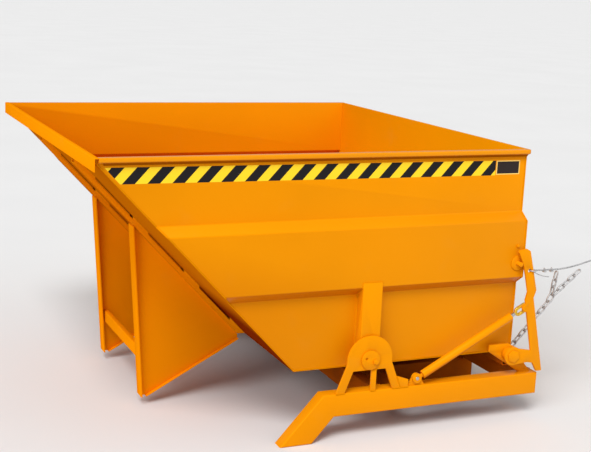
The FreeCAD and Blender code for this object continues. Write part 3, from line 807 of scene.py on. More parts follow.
def lines_object(name: str, lines: Sequence[Line]) -> Object:
    """Makes a mesh of bare edges along lines of points.

    Args:
        name: The object's name.
        lines: The lines; one whose ends meet is a loop.

    Returns:
        The object.
    """
    bm = bmesh.new()
    for line in lines:
        loop = (line[0] - line[-1]).length < MERGED
        points = [bm.verts.new(point) for point in (line[:-1] if loop else line)]
        for first, second in zip(points, points[1:] + (points[:1] if loop else [])):
            bm.edges.new((first, second))
    return from_bmesh(name, bm)


@dataclass(frozen=True)
class Bend:
    """Edges of a sheet that were bent, and the radius they were bent to.

    An edge is chosen by its middle, its direction and both corners of its piece's box.
    """

    radius: float
    chosen: Callable[[Vector, Vector, Vector, Vector], bool]
    segments: int = 4

    def round(self, bm: BMesh, box: Box) -> None:
        """Rounds the chosen edges.

        Args:
            bm: The piece's mesh.
            box: The piece's box.
        """
        edges = []
        for edge in sharp_edges(bm):
            first, second = edge.verts[0].co, edge.verts[1].co
            if self.chosen((first + second) / 2, (second - first).normalized(), *box):
                edges.append(edge)
        if edges:
            bmesh.ops.bevel(bm, geom=edges, offset=self.radius, segments=self.segments,
                            profile=0.5, affect="EDGES", clamp_overlap=True)


@dataclass(frozen=True)
class Steel:
    """One kind of piece: its coat, its broken edges, and its bends where it has any."""

    coat: Coat
    cut: Cut
    bend: Bend | None = None
    broken_from: float = 38.0
    broken_segments: int = 2

    def make(self, *nodes: str) -> None:
        """Makes pieces of this kind.

        Args:
            *nodes: Their CAD nodes, which they replace.
        """
        for node in nodes:
            bm = merged_copy(node)
            if self.bend:
                self.bend.round(bm, box_of(node))
            obj = from_bmesh(node + "_dressed", bm)
            obj.data.shade_smooth()
            edges = obj.modifiers.new("broken_edges", "BEVEL")
            edges.width = self.cut.value
            edges.segments = self.broken_segments
            edges.limit_method = "ANGLE"
            edges.angle_limit = math.radians(self.broken_from)
            edges.harden_normals = True
            edges.use_clamp_overlap = True
            dress(obj, self.coat, BODY_OF[node], node)


@dataclass(frozen=True)
class Joint:
    """A piece, the pieces that it is welded to, and the shortest line that gets a bead."""

    node: str
    others: Sequence[str]
    shortest: float = 16 * MM
    step: float = 6 * MM

    def lines(self) -> list[Line]:
        """Finds where the piece's edges lie on the others.

        Returns:
            Straight lines.
        """
        found: list[Line] = []
        bm = merged_copy(self.node)
        edges = [(edge.verts[0].co.copy(), edge.verts[1].co.copy()) for edge in sharp_edges(bm)]
        bm.free()
        for other in self.others:
            mesh = frame["nodes"][other].data
            skin = BVHTree.FromPolygons([vertex.co for vertex in mesh.vertices],
                                        [tuple(face.vertices) for face in mesh.polygons])
            for edge in edges:
                found += self._touching(skin, *edge)
        return found

    def _touching(self, skin: BVHTree, first: Vector, last: Vector) -> list[Line]:
        """Finds the stretches of one edge that lie on another piece.

        Args:
            skin: The other piece's faces.
            first: The edge's first end.
            last: Its last end.

        Returns:
            The stretches.
        """
        found: list[Line] = []
        run: list[Vector] = []
        count = max(2, round((last - first).length / self.step))
        for i in range(count + 1):
            point = first.lerp(last, i / count)
            place, _, _, distance = skin.find_nearest(point)
            touching = place is not None and distance < TOUCHING
            if touching:
                run.append(point)
            if run and (not touching or i == count):
                if (run[-1] - run[0]).length >= self.shortest:
                    found.append([run[0], run[-1]])
                run = []
        return found


# What repeats or follows a path

class WeldBeads(GeometryTree):
    """Rippled weld beads along lines."""

    SIDES = 6
    # How much every second ripple swells the bead, and how uneven they are.
    WAVE = 0.26
    UNEVEN: Span = (0.84, 1.0)
    # A ripple's length in widths of the bead.
    RIPPLE = 0.8
    SMOOTH = 60.0
    # Places of the float inputs and result among a Random Value node's sockets.
    FLOAT_INPUTS, FLOAT_RESULT = (2, 3), 1

    def __init__(self) -> None:
        """Builds the tree."""
        super().__init__("weld_beads")
        width = self.size("Width")
        curve = self.even_curve(self.size("Ripple"))
        uneven = self.add("FunctionNodeRandomValue", data_type="FLOAT",
                          Seed=self.size("Seed", "Int"))
        for place, value in zip(self.FLOAT_INPUTS, self.UNEVEN):
            uneven.inputs[place].default_value = value
        swell = self.math("ADD", self.math("MULTIPLY", self.odd(), self.WAVE),
                          uneven.outputs[self.FLOAT_RESULT])
        radius = self.math("MULTIPLY", self.half(width), swell)
        self.finish(self.sweep(curve, self.circle(self.SIDES, 1.0), Scale=radius))

    def lay(self, name: str, lines: Sequence[Line], coat: Coat, body: str, seed: int,
            width: float = 6 * MM) -> None:
        """Lays beads on one body.

        Args:
            name: The piece's name.
            lines: Each bead's line.
            coat: What is on them.
            body: The body that they move with.
            seed: Seed of their unevenness.
            width: Their width.
        """
        beads = self.run(name, lines, coat.material, self.SMOOTH, Width=width,
                         Ripple=self.RIPPLE * width, Seed=seed)
        dress(beads, coat, body)


class RoundBars(GeometryTree):
    """Round bars bent along lines of points."""

    SMOOTH = 50.0

    def __init__(self) -> None:
        """Builds the tree."""
        super().__init__("round_bars")
        section = self.circle(self.size("Sides", "Int"), self.half(self.size("Diameter")))
        self.finish(self.sweep(self.curve(), section))

    def bend(self, name: str, line: Line, diameter: float, material: Material,
             sides: int = 12) -> Object:
        """Makes one bar.

        Args:
            name: The object's name.
            line: Its middle line, a loop where the last point is the first again.
            diameter: Its thickness.
            material: Its finish.
            sides: Flats round it.

        Returns:
            The bar.
        """
        return self.run(name, [line], material, self.SMOOTH, Diameter=diameter, Sides=sides)


class ChainLinks(GeometryTree):
    """Rows of welded chain links, each a quarter turn from the last."""

    LINK_STEPS = 20
    WIRE_SIDES = 10
    SMOOTH = 60.0
    # Keeps the points in the middle of a link off zero, where they would have no side.
    OFF_ZERO = 1e-7

    def __init__(self) -> None:
        """Builds the tree."""
        super().__init__("chain_links")
        pitch, wire = self.size("Pitch"), self.size("Wire")
        bend = self.half(self.math("SUBTRACT", self.size("Width"), wire))
        reach = self.math("SUBTRACT", self.half(self.math("ADD", pitch, wire)), bend)
        row = self.add("GeometryNodeMeshLine", Count=self.size("Count", "Int"),
                       Start_Location=self.ahead(self.half(pitch)),
                       Offset=self.ahead(self.size("Spacing")))
        place = self.add("GeometryNodeInputPosition").outputs[0]
        side = self.math("SIGN", self.math("ADD", self.axis(place, "X"), self.OFF_ZERO))
        long = self.add("GeometryNodeSetPosition", Geometry=self.circle(self.LINK_STEPS, bend),
                        Offset=self.ahead(self.math("MULTIPLY", side, reach)))
        link = self.sweep(long.outputs[0], self.circle(self.WIRE_SIDES, self.half(wire)))
        links = self.add("GeometryNodeInstanceOnPoints", Points=row.outputs[0], Instance=link,
                         Rotation=self.ahead(self.math("MULTIPLY", self.odd(), QUARTER_TURN)))
        self.finish(links.outputs[0])

    def hang(self, start: Vector, rise: float, count: int, chain: "SafetyChain") -> Object:
        """Makes one straight row of links.

        Args:
            start: Where the row's first pitch begins.
            rise: The row's angle above the level.
            count: How many links.
            chain: The chain's sizes.

        Returns:
            The row, in place.
        """
        row = self.run("row_%d_links" % count, [(Vector(), AHEAD * MM)],
                       chain.coats.bright.material, self.SMOOTH, Count=count, Wire=chain.wire,
                       Pitch=chain.pitch, Spacing=chain.pitch - chain.gap, Width=chain.width)
        turn = Matrix.Rotation(-math.radians(rise), 4, "Y")
        row.data.transform(Matrix.Translation(start) @ turn)
        return row


class WireRope(GeometryTree):
    """Strands laid round a route."""

    STRANDS = 6
    STRAND_SIDES = 8
    # How many radii of a strand the rope is thick.
    RADII_ACROSS = 6.0
    # In diameters: a full turn of the strands, and the steps along them.
    LAY, STEP = 6.5, 0.45
    SMOOTH = 70.0

    def __init__(self) -> None:
        """Builds the tree."""
        super().__init__("wire_rope")
        radius = self.math("DIVIDE", self.size("Diameter"), self.RADII_ACROSS)
        curve = self.even_curve(self.size("Step"))
        along = self.add("GeometryNodeSplineParameter").outputs["Length"]
        turns = self.math("DIVIDE", along, self.size("Lay"))
        tilted = self.add("GeometryNodeSetCurveTilt", Curve=curve,
                          Tilt=self.math("MULTIPLY", turns, TURN))
        strand = self.circle(self.STRAND_SIDES, radius)
        seats = self.circle(self.size("Strands", "Int"), self.math("MULTIPLY", radius, 2.0))
        ring = self.add("GeometryNodeInstanceOnPoints", Points=seats, Instance=strand)
        section = self.add("GeometryNodeJoinGeometry")
        for piece in (ring.outputs[0], strand):
            self.links.new(piece, section.inputs[0])
        real = self.add("GeometryNodeRealizeInstances", Geometry=section.outputs[0])
        self.finish(self.sweep(tilted.outputs[0], real.outputs[0]))

    def lay(self, name: str, points: Line, diameter: float, material: Material) -> Object:
        """Makes a rope.

        Args:
            name: The object's name.
            points: The line that it follows.
            diameter: Over the strands.
            material: Its finish.

        Returns:
            The rope.
        """
        return self.run(name, [points], material, self.SMOOTH, Diameter=diameter,
                        Lay=self.LAY * diameter, Step=self.STEP * diameter, Strands=self.STRANDS)


# Pieces of the hopper

@dataclass
class TubSteel:
    """The tub's sheets, bars and pivots."""

    coats: Coats
    beads: WeldBeads
    fold: float = 6 * MM
    # Between these heights the level edges of a side are folds.
    fold_heights: Span = (0.45, 1.2)
    lip_fold: float = 5 * MM
    # How far below the top of the lip's bar the beads stop.
    flush_room: float = 2 * MM
    stud_bead: float = 5 * MM

    def build(self) -> None:
        """Makes every piece of the tub."""
        coats = self.coats
        fold = Bend(self.fold, lambda mid, way, low, high: abs(way.x) > LEVEL
                    and self.fold_heights[0] < mid.z < self.fold_heights[1])
        lip = Bend(self.lip_fold, lambda mid, way, low, high: abs(way.y) > ALONG
                   and near(mid.x, low.x) and near(mid.z, high.z))
        tube = Bend(self.fold, lambda mid, way, low, high: abs(way.y) > ALONG)
        post = Bend(self.fold, lambda mid, way, low, high: abs(way.z) > ALONG
                    and near(abs(mid.y), outer(low, high)))
        Steel(coats.paint, Cut.SHEET, fold).make("left_side_wall", "right_side_wall")
        # The tub's inside gets the lighter coat: painted light, and painted shade below.
        Steel(coats.inside, Cut.SHEET).make("slope_plate", "floor_plate", "rear_wall")
        # The lighter matt coat is painted light for these pieces.
        Steel(coats.matt, Cut.SECTION, lip).make("lip_bar")
        Steel(coats.matt, Cut.PLATE).make(
            "slope_ribs", "left_leg_plate", "right_leg_plate", "leg_face_bars",
            "leg_foot_flanges", "left_pivot_hub", "right_pivot_hub")
        Steel(coats.matt, Cut.BAR, tube).make("leg_cross_bar")
        Steel(coats.paint, Cut.BAR, post).make("left_pivot_post", "right_pivot_post")
        Steel(coats.paint, Cut.STUD).make("latch_stud")
        Steel(coats.paint, Cut.BAR).make("band_bolt")
        self._welds()

    def _welds(self) -> None:
        """Lays the beads of the tub, but none on the flush top of the lip's bar."""
        sides = ("left_side_wall", "right_side_wall")
        legs = ("left_leg_plate", "right_leg_plate")
        joints = [
            Joint("slope_plate", sides), Joint("floor_plate", sides),
            Joint("rear_wall", (*sides, "floor_plate")),
            Joint("lip_bar", ("left_rim", "right_rim", "slope_plate", *sides)),
            Joint("slope_ribs", ("slope_plate",)), Joint("leg_cross_bar", legs),
            Joint("leg_foot_flanges", legs), Joint("leg_face_bars", (*legs, "slope_ribs"))]
        for side in ("left", "right"):
            joints += [Joint(side + "_pivot_post", (side + "_side_wall",)),
                       Joint(side + "_leg_plate", ("slope_ribs", "slope_plate", "floor_plate"))]
        flush = box_of("lip_bar")[1].z - self.flush_room
        lines = [line for joint in joints for line in joint.lines()
                 if min(point.z for point in line) < flush]
        self.beads.lay("tub_welds", lines, self.coats.weld, "hopper_tub", seed=5)
        self.beads.lay("stud_welds", Joint("latch_stud", sides, MM).lines(), self.coats.weld,
                       "hopper_tub", seed=8, width=self.stud_bead)


@dataclass
class FoldedRim:
    """The rim folded outwards round both sides and the rear, in one piece."""

    coats: Coats
    corner: float = 20 * MM
    edge: float = 7 * MM
    corner_steps: int = 8
    edge_steps: int = 4
    # The long weld's side, and how far from the lip it starts.
    weld_leg: float = 14 * MM
    weld_set_in: float = 26 * MM
    smooth_to: float = 32.0

    def build(self) -> None:
        """Makes the rim, which replaces its three nodes, and the welds under it."""
        low, high = box_of("right_rim")
        rear_low, rear_high = box_of("rear_rim")
        inner, outer_side = ACROSS * low.y, ACROSS * high.y
        start, rear = AHEAD * low.x, AHEAD * rear_low.x
        stations = [(start - inner, start - outer_side)]
        for sign, first in ((-1, -QUARTER_TURN), (1, 0.0)):
            centre = Vector((rear_high.x - self.corner, sign * (high.y - self.corner), 0))
            stations += [(rear + inner * sign, point) for point in arc(
                centre, AHEAD * self.corner, ACROSS * self.corner, self.corner_steps, first,
                QUARTER_TURN)]
        stations.append((start + inner, start + outer_side))
        bm = bmesh.new()
        rings = [self._ring(bm, near_side, far_side, (low.z, high.z))
                 for near_side, far_side in stations]
        for ring, following in zip(rings, rings[1:]):
            for corners in zip(ring, ring[1:] + ring[:1], following[1:] + following[:1],
                               following):
                if len({tuple(corner.co) for corner in corners}) > 2:
                    bm.faces.new(corners)
        bm.faces.new(rings[0])
        bm.faces.new(list(reversed(rings[-1])))
        bmesh.ops.remove_doubles(bm, verts=bm.verts, dist=MERGED)
        bmesh.ops.recalc_face_normals(bm, faces=bm.faces)
        for name, sign in (("left", -1), ("right", 1)):
            self._fillet(name, start + inner * sign + UP * low.z, sign, rear_low.x)
        rim = from_bmesh("folded_rim", bm)
        smooth(rim, self.smooth_to)
        dress(rim, self.coats.rim, "hopper_tub", "left_rim", "right_rim", "rear_rim")

    def _fillet(self, name: str, start: Vector, sign: int, end: float) -> None:
        """Lays the long weld in the corner under the rim of one side.

        Args:
            name: The side's name.
            start: Where that corner starts, at the lip.
            sign: The side's sign of Y.
            end: How far along the hopper it runs.
        """
        corner = start + AHEAD * self.weld_set_in
        outline = [corner, corner + ACROSS * (sign * self.weld_leg), corner - UP * self.weld_leg]
        weld = prism("rim_weld_" + name, outline, AHEAD * (end - corner.x))
        # Its darker coat is painted shade under the rim.
        dress(weld, self.coats.fillet, "hopper_tub")

    def _ring(self, bm: BMesh, inner: Vector, far: Vector,
              heights: Span) -> list[bmesh.types.BMVert]:
        """Adds one section of the fold, its two outer edges round.

        Args:
            bm: The mesh that it goes into.
            inner: Where it meets the wall.
            far: Where its outer face is.
            heights: Its foot and its top.

        Returns:
            Its points in order.
        """
        foot, top = heights
        out = (far - inner).normalized() * self.edge
        points = [inner + UP * foot]
        for height, start in ((foot + self.edge, -QUARTER_TURN), (top - self.edge, 0.0)):
            points += arc(far - out + UP * height, out, UP * self.edge, self.edge_steps, start,
                          QUARTER_TURN)
        points.append(inner + UP * top)
        return [bm.verts.new(point) for point in points]


@dataclass
class TapeAndPanel:
    """Hazard tape under the rim of each side, and a bare dark panel beside it."""

    coats: Coats
    # Below the top, at the tape's two ends.
    top_drops: Span = (47 * MM, 56 * MM)
    height: float = 74 * MM
    # From the lip, as the panel's reach is.
    reach: Span = (53 * MM, 2045 * MM)
    panel_reach: Span = (2050 * MM, 2188 * MM)
    # Below the top, the panel's foot first.
    panel_drops: Span = (127 * MM, 56 * MM)
    sheet: float = 0.4 * MM
    panel_sheet: float = 0.72 * MM
    border: float = 5 * MM
    # What a side's sloping edge gains in height for each metre along.
    slope_rise: float = 1.0608

    def build(self, side: Side) -> None:
        """Makes the tape and the panel of one side.

        Args:
            side: The side.
        """
        lip_low, lip_high = box_of("lip_bar")
        face = Vector((lip_low.x, side.value * abs(box_of("left_rim")[1].y), lip_high.z))
        name, out = side.name.lower(), ACROSS * side.value
        (start, end), (first_drop, last_drop) = self.reach, self.top_drops
        leaning = start + self.height / self.slope_rise
        tape = self._plate("hazard_tape_" + name, face, out * self.sheet, [
            (leaning, first_drop + self.height), (end, last_drop + self.height),
            (end, last_drop), (start, first_drop)])
        dress(tape, self.coats.tape, "hopper_tub")
        for title, inset, sheet, coat in (
                ("panel_border_", 0.0, self.sheet, self.coats.panel_edge),
                ("blank_panel_", self.border, self.panel_sheet, self.coats.panel)):
            (x0, x1), (foot, top) = self.panel_reach, self.panel_drops
            plate = self._plate(title + name, face, out * sheet, [
                (x0 + inset, foot - inset), (x1 - inset, foot - inset),
                (x1 - inset, top + inset), (x0 + inset, top + inset)])
            dress(plate, coat, "hopper_tub")

    @staticmethod
    def _plate(name: str, face: Vector, depth: Vector, corners: Sequence[Span]) -> Object:
        """Makes a thin plate on a side wall.

        Args:
            name: The object's name.
            face: The wall's face at the top of the lip.
            depth: How far the plate stands out.
            corners: Its corners, each from the lip and below the top.

        Returns:
            The plate.
        """
        return prism(name, [face + AHEAD * x - UP * drop for x, drop in corners], depth)


@dataclass
class FrameSteel:
    """Rails, cross members, pockets, trestles and brackets."""

    coats: Coats
    beads: WeldBeads
    fold: float = 6 * MM
    fold_segments: int = 3
    pocket_corner: float = 9 * MM
    beam_corner: float = 5 * MM

    def build(self) -> None:
        """Makes every piece of the base frame."""
        coats = self.coats
        rail = Bend(self.fold, lambda mid, way, low, high: abs(way.y) < ALONG
                    and near(abs(mid.y), outer(low, high)), self.fold_segments)
        member = Bend(self.fold, lambda mid, way, low, high: abs(way.y) > ALONG
                      and near(mid.x, low.x), self.fold_segments)
        pocket = Bend(self.pocket_corner, lambda mid, way, low, high: abs(way.x) > ALONG
                      and (near(mid.y, low.y) or near(mid.y, high.y)))
        beam = Bend(self.beam_corner, lambda mid, way, low, high: abs(way.y) > ALONG)
        Steel(coats.paint, Cut.SECTION, rail).make("left_side_rail", "right_side_rail")
        # The pieces under the tub get the darker coat, painted shade.
        Steel(coats.under, Cut.SECTION, member).make(
            "front_cross_member", "middle_cross_member", "rear_cross_member")
        Steel(coats.under, Cut.SECTION, pocket).make("left_fork_pocket", "right_fork_pocket")
        Steel(coats.paint, Cut.BRACKET).make(
            "left_trestle", "right_trestle", "trestle_stays", "trestle_gussets",
            "left_rear_bracket", "right_rear_bracket", "latch_boss", "strut_lug", "chain_eye",
            "pivot_pin_caps")
        # The rest beam gets the darker coat, painted shade.
        Steel(coats.under, Cut.BAR, beam).make("rest_beam")
        Steel(coats.rubber, Cut.PAD).make("rest_pads")
        Steel(coats.zinc, Cut.SECTION).make("left_pivot_pin", "right_pivot_pin", "strut_lug_pin")
        Steel(coats.paint, Cut.SCREW).make("pivot_cap_screws", "latch_pin")
        self._welds()

    def _welds(self) -> None:
        """Lays the beads of the base frame."""
        rails = ("left_side_rail", "right_side_rail")
        trestles = ("left_trestle", "right_trestle")
        members = ("front_cross_member", "middle_cross_member", "rear_cross_member")
        joints = [
            Joint("trestle_stays", (*rails, *trestles)),
            Joint("trestle_gussets", (*rails, *trestles)), Joint("strut_lug", rails),
            Joint("chain_eye", ("rear_cross_member",)),
            Joint("latch_boss", ("left_rear_bracket",), MM)]
        for side, rail in zip(("left", "right"), rails):
            joints += [Joint(side + "_trestle", (rail,)), Joint(side + "_rear_bracket", (rail,)),
                       Joint(side + "_fork_pocket", members)]
        joints += [Joint(piece, rails) for piece in (*members, "rest_beam")]
        lines = [line for joint in joints for line in joint.lines()]
        self.beads.lay("frame_welds", lines, self.coats.weld, "base_frame", seed=11)


@dataclass
class LatchAndStrut:
    """Lever, its pin, and the strut that pulls it shut."""

    coats: Coats

    def build(self) -> None:
        """Makes the lever and the strut."""
        coats = self.coats
        Steel(coats.paint, Cut.LEVER).make("latch_lever")
        Steel(coats.paint, Cut.BRACKET).make("strut_tube")
        Steel(coats.zinc, Cut.BAR).make("strut_rod")
        Steel(coats.yellow, Cut.LINK).make("strut_link")
        Steel(coats.paint, Cut.SECTION).make("strut_head_pin")


@dataclass
class SafetyChain:
    """The chain on the rear cross member: one run, the larger link on its end, and two runs up."""

    coats: Coats
    bars: RoundBars
    wire: float = 9 * MM
    pitch: float = 42 * MM
    width: float = 33 * MM
    gap: float = 0.8 * MM
    rise: float = 47.0
    count: int = 9
    # The two short runs: their angles above the level, and their links.
    branches: tuple[tuple[float, int], ...] = ((80.0, 3), (39.0, 5))
    # The eye's hole: above the rear cross member, and in from its rear face.
    eye_height: float = 24 * MM
    eye_set_in: float = 43 * MM
    # From that hole to where the first link's pitch begins.
    bore_reach: float = 8.4 * MM
    junction_pitch: float = 48 * MM
    junction_width: float = 41 * MM
    junction_rise: float = 60.0
    # Angle to either side of its end at which the short runs sit in it.
    junction_spread: float = 58.0
    # The larger link's play on the links that it joins.
    junction_seat: float = 1.2 * MM
    bend_steps: int = 12
    smooth_to: float = 60.0

    def build(self) -> None:
        """Makes the links and the larger link."""
        eye_low, eye_high = box_of("chain_eye")
        beam = box_of("rear_cross_member")[1]
        eye = Vector((beam.x - self.eye_set_in, (eye_low.y + eye_high.y) / 2,
                      beam.z + self.eye_height))
        links = ChainLinks()
        way, joint_way = in_plane(self.rise), in_plane(self.junction_rise)
        rows = [links.hang(eye + way * self.bore_reach, self.rise, self.count, self)]
        top = eye + way * (self.bore_reach + self.count * (self.pitch - self.gap) + self.gap)
        foot = top - way * self.junction_seat
        bore = self.junction_width / 2 - self.wire
        bend = foot + joint_way * (self.junction_pitch - bore)
        for turn, (rise, count) in zip((1, -1), self.branches):
            seat = in_plane(self.junction_rise + turn * self.junction_spread)
            start = bend + seat * (bore - self.wire / 2 - self.junction_seat)
            rows.append(links.hang(start + in_plane(rise) * (self.wire / 2), rise, count, self))
        chain = joined("safety_chain_links", rows, self.smooth_to)
        dress(chain, self.coats.bright, "base_frame", "safety_chain")
        self._junction(foot, joint_way)

    def _junction(self, foot: Vector, way: Vector) -> None:
        """Makes the larger link.

        Args:
            foot: The inside of its lower end.
            way: Its long direction.
        """
        side = Vector((-way.z, 0, way.x))
        bend = (self.junction_width - self.wire) / 2
        middle = foot + way * (self.junction_pitch / 2)
        reach = way * ((self.junction_pitch + self.wire) / 2 - bend)
        path = [point for centre, start in ((middle + reach, 0.0), (middle - reach, HALF_TURN))
                for point in arc(centre, side * bend, way * bend, self.bend_steps, start,
                                 HALF_TURN)]
        coat = self.coats.bright
        link = self.bars.bend("chain_joining_link", [*path, path[0]], self.wire, coat.material)
        dress(link, coat, "base_frame", "chain_ring")


@dataclass(frozen=True)
class RopeClip:
    """Rope clip: a saddle, a bow over the rope and its two nuts."""

    rope: float
    saddle: tuple[float, float, float] = (15 * MM, 17 * MM, 7 * MM)
    lift: float = 3 * MM
    bow_wire: float = 4 * MM
    bow_rise: float = 7 * MM
    bow_half: float = 6.2 * MM
    bow_steps: int = 12
    bow_sides: int = 8
    leg: float = 16 * MM
    nut_sides: int = 6
    nut_radius: float = 4 * MM
    nut_height: float = 3.4 * MM
    nut_place: float = 0.9
    smooth_to: float = 40.0

    def build(self, middle: Vector, way: Vector, bars: RoundBars, material: Material) -> Object:
        """Makes one clip.

        Args:
            middle: The middle of the rope there.
            way: The rope's direction.
            bars: What bends the bow.
            material: Its finish.

        Returns:
            The clip.
        """
        upright = way.cross(ACROSS)
        long, wide, high = self.saddle
        seat = middle - upright * (self.rope / 2 + self.lift + high / 2)
        corners = [seat + way * (a * long / 2) + ACROSS * (b * wide / 2)
                   for a, b in ((-1, -1), (1, -1), (1, 1), (-1, 1))]
        parts = [prism("saddle", corners, upright * high)]
        bow = arc(middle + upright * self.lift, ACROSS * self.bow_half, upright * self.bow_rise,
                  self.bow_steps, turn=HALF_TURN)
        foot = upright * -self.leg
        parts.append(bars.bend("bow", [bow[0] + foot, *bow, bow[-1] + foot], self.bow_wire,
                               material, self.bow_sides))
        for leg in (bow[0], bow[-1]):
            corners = arc(leg + foot * self.nut_place, ACROSS * self.nut_radius,
                          upright.cross(ACROSS) * self.nut_radius, self.nut_sides)
            parts.append(prism("nut", corners[:-1], upright * self.nut_height))
        return joined("clip", parts, self.smooth_to)


@dataclass
class PullRope:
    """Wire rope from the lever to its end ring, with its clips."""

    coats: Coats
    bars: RoundBars
    diameter: float = 9 * MM
    # The lever's hole: behind the rim's rear face, and above the ground.
    hole: Span = (3 * MM, 799 * MM)
    ring_radius: float = 17 * MM
    ring_wire: float = 7 * MM
    # From that hole to the middle of the ring in it.
    ring_reach: float = 21.594 * MM
    # The rope's two runs: their angles above the level, and their lengths.
    rises: Span = (-1.0, 13.0)
    runs: Span = (188 * MM, 270 * MM)
    # How many diameters the rope runs straight at its ends.
    straight: float = 6.0
    clip_places: Span = (52 * MM, 96 * MM)
    end_radius: float = 30 * MM
    end_wire: float = 12 * MM
    # How much smaller the rings are than their solids, which have flats.
    ring_inset: float = 0.4 * MM
    ring_steps: int = 28
    tail_length: float = 104 * MM
    tail_rise: float = -19.0
    tail_drop: float = 6.3 * MM
    tail_sag: float = 6 * MM
    tail_share: float = 0.56
    tail_steps: int = 10
    tail_sides: int = 8

    def build(self) -> None:
        """Makes the rope and what is on it."""
        coat, ways = self.coats.bright, [in_plane(angle) for angle in self.rises]
        low, high = box_of("latch_lever")
        hole = Vector((box_of("rear_rim")[1].x + self.hole[0], (low.y + high.y) / 2,
                       self.hole[1]))
        eye = hole + ways[0] * self.ring_reach
        start = eye + ways[0] * (self.ring_radius + self.ring_wire / 2)
        corner = start + ways[0] * self.runs[0]
        end = corner + ways[1] * self.runs[1]
        straight = self.straight * self.diameter
        route = self._route([start, start + ways[0] * straight, corner,
                             end - ways[1] * straight, end])
        rope = WireRope().lay("pull_rope_strands", route, self.diameter, coat.material)
        ring = self._ring("rope_eye_ring", eye, (ways[0], ACROSS), self.ring_radius,
                          self.ring_wire)
        handle = self._ring("rope_end_ring", end + ways[1] * (self.end_radius + self.end_wire / 2),
                            (ways[1], ways[1].cross(ACROSS)), self.end_radius, self.end_wire)
        clip = RopeClip(self.diameter)
        pair = joined("rope_clip_pair", [
            clip.build(start + ways[0] * place, ways[0], self.bars, coat.material)
            for place in self.clip_places], clip.smooth_to)
        tail = self._tail(start, ways[0])
        for obj, nodes in ((ring, ("rope_ring",)), (handle, ("rope_handle_ring",)),
                           (pair, ("rope_clips",)), (tail, ()), (rope, ("pull_rope",))):
            dress(obj, coat, "latch_arm", *nodes)

    @staticmethod
    def _route(points: Line) -> list[Vector]:
        """Reads points along the route's own smooth line.

        Args:
            points: The route's control points.

        Returns:
            Points close enough together to have its length.
        """
        curve = bpy.data.curves.new("pull_rope_route", "CURVE")
        curve.dimensions = "3D"
        curve.resolution_u = 24
        spline = curve.splines.new("NURBS")
        spline.points.add(len(points) - 1)
        for item, point in zip(spline.points, points):
            item.co = (*point, 1.0)
        spline.order_u = 3
        spline.use_endpoint_u = True
        line = bpy.data.objects.new("pull_rope_line", curve)
        mesh = bpy.data.meshes.new_from_object(line)
        route = [vertex.co.copy() for vertex in mesh.vertices]
        bpy.data.objects.remove(line)
        return route

    def _ring(self, name: str, centre: Vector, ways: tuple[Vector, Vector], radius: float,
              wire: float) -> Object:
        """Makes a round ring.

        Args:
            name: The object's name.
            centre: Its middle.
            ways: Two directions in its plane.
            radius: To the middle of its wire.
            wire: Its wire's thickness.

        Returns:
            The ring.
        """
        first, second = (way * (radius - self.ring_inset) for way in ways)
        return self.bars.bend(name, arc(centre, first, second, self.ring_steps), wire,
                              self.coats.bright.material)

    def _tail(self, start: Vector, way: Vector) -> Object:
        """Makes the rope's short end, left hanging off the ring.

        Args:
            start: Where the rope leaves the ring.
            way: The rope's direction there.

        Returns:
            The short end.
        """
        down = in_plane(self.tail_rise)
        first = start - way * (self.ring_wire + self.diameter) - UP * self.tail_drop
        shares = [i / self.tail_steps for i in range(self.tail_steps + 1)]
        path = [first + down * (self.tail_length * share)
                - UP * (self.tail_sag * math.sin(HALF_TURN * share)) for share in shares]
        return self.bars.bend("rope_short_end", path, self.diameter * self.tail_share,
                              self.coats.bright.material, self.tail_sides)


# Camera, light and floor

@dataclass(frozen=True)
class PhotoCamera:
    """Camera with the photo's place, angle and lens."""

    from_lip: float = -1.1736
    across: float = -5.8564
    height: float = 2.1721
    yaw: float = 24.0542
    pitch: float = 11.8601
    roll: float = -2.5635
    focal_px: float = 1147.28
    width_px: float = 591.0
    sensor: float = 36.0
    far: float = 4000.0

    def build(self) -> None:
        """Adds the camera and makes it the scene's."""
        yaw, pitch, roll = (math.radians(angle) for angle in (self.yaw, self.pitch, self.roll))
        ahead = Vector((math.sin(yaw) * math.cos(pitch), math.cos(yaw) * math.cos(pitch),
                        -math.sin(pitch)))
        right = Vector((math.cos(yaw), -math.sin(yaw), 0.0))
        down = ahead.cross(right)
        side = right * math.cos(roll) + down * math.sin(roll)
        foot = right * -math.sin(roll) + down * math.cos(roll)
        data = bpy.data.cameras.new("photo_camera")
        data.sensor_width = self.sensor
        data.lens = self.focal_px / self.width_px * self.sensor
        data.clip_end = self.far
        camera = bpy.data.objects.new("photo_camera", data)
        bpy.context.scene.collection.objects.link(camera)
        turn = Matrix((side, -foot, -ahead)).transposed().to_4x4()
        place = Vector((box_of("lip_bar")[0].x + self.from_lip, self.across, self.height))
        camera.matrix_world = Matrix.Translation(place) @ turn
        bpy.context.scene.camera = camera


@dataclass(frozen=True)
class Sun:
    """One wide, soft light from far away."""

    name: str
    toward: tuple[float, float, float]
    strength: float
    spread: float

    def build(self) -> None:
        """Adds the light, which shines from the direction given."""
        data = bpy.data.lights.new(self.name, "SUN")
        data.energy = self.strength
        data.angle = math.radians(self.spread)
        lamp = bpy.data.objects.new(self.name, data)
        bpy.context.scene.collection.objects.link(lamp)
        lamp.rotation_euler = Vector(self.toward).to_track_quat("Z", "Y").to_euler()


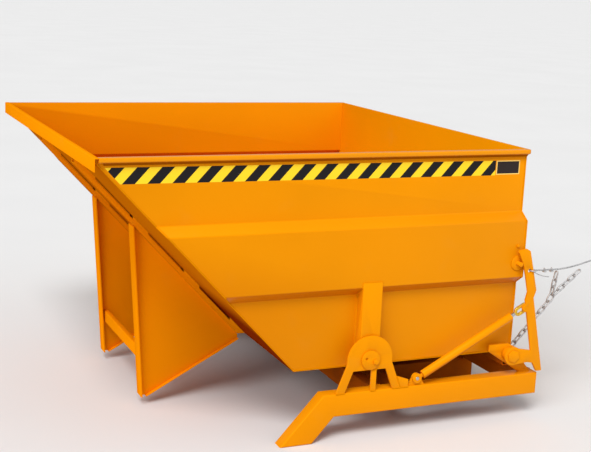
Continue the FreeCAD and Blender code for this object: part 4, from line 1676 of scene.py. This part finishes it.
@dataclass(frozen=True)
class Studio:
    """Pale floor and soft light."""

    floor: float = 3000.0
    pale: float = 0.76
    mottle: tuple[Span, Span] = ((0.3, 0.985), (0.7, 1.015))
    mottle_scale: float = 0.6
    roughness: float = 0.9
    surround: float = 0.42
    backdrop: float = 0.86
    suns: tuple[Sun, ...] = (
        Sun("key_light", (-0.34, -0.56, 0.80), 1.85, 22.0),
        Sun("front_fill", (-0.68, -0.42, 0.50), 1.2, 30.0),
        Sun("side_fill", (0.75, -0.60, 0.55), 0.35, 50.0),
    )

    def build(self) -> None:
        """Adds the floor, the lights and the surrounding brightness."""
        bm = bmesh.new()
        bmesh.ops.create_grid(bm, x_segments=2, y_segments=2, size=self.floor / 2)
        ground = from_bmesh("studio_floor", bm)
        tree = ShaderTree("pale_floor")
        tint = tree.ramp(tree.noise(self.mottle_scale), [
            (place, (self.pale * share,) * 3) for place, share in self.mottle])
        tree.set(Base_Color=tint, Roughness=self.roughness)
        ground.data.materials.append(tree.material)
        world = bpy.data.worlds.new("studio_surround")
        bpy.context.scene.world = world
        world.use_nodes = True
        sky = Tree(world.node_tree)
        back = next(node for node in sky.nodes if node.type == "BACKGROUND")
        seen = sky.add("ShaderNodeLightPath").outputs["Is Camera Ray"]
        sky.feed(back.inputs["Color"], (*WHITE, 1.0))
        sky.feed(back.inputs["Strength"],
                 sky.ease(seen, (0.0, 1.0), (self.surround, self.backdrop)))
        for sun in self.suns:
            sun.build()


def main() -> None:
    """Builds the scene in order, the camera and the rope first."""
    logging.basicConfig(level=logging.INFO, format="%(message)s")
    bpy.context.scene.view_settings.view_transform = "Standard"
    PhotoCamera().build()
    coats, bars, beads = Coats(), RoundBars(), WeldBeads()
    PullRope(coats, bars).build()
    TubSteel(coats, beads).build()
    FoldedRim(coats).build()
    for side in Side:
        TapeAndPanel(coats).build(side)
    FrameSteel(coats, beads).build()
    LatchAndStrut(coats).build()
    SafetyChain(coats, bars).build()
    Studio().build()


if __name__ == "__main__":
    main()
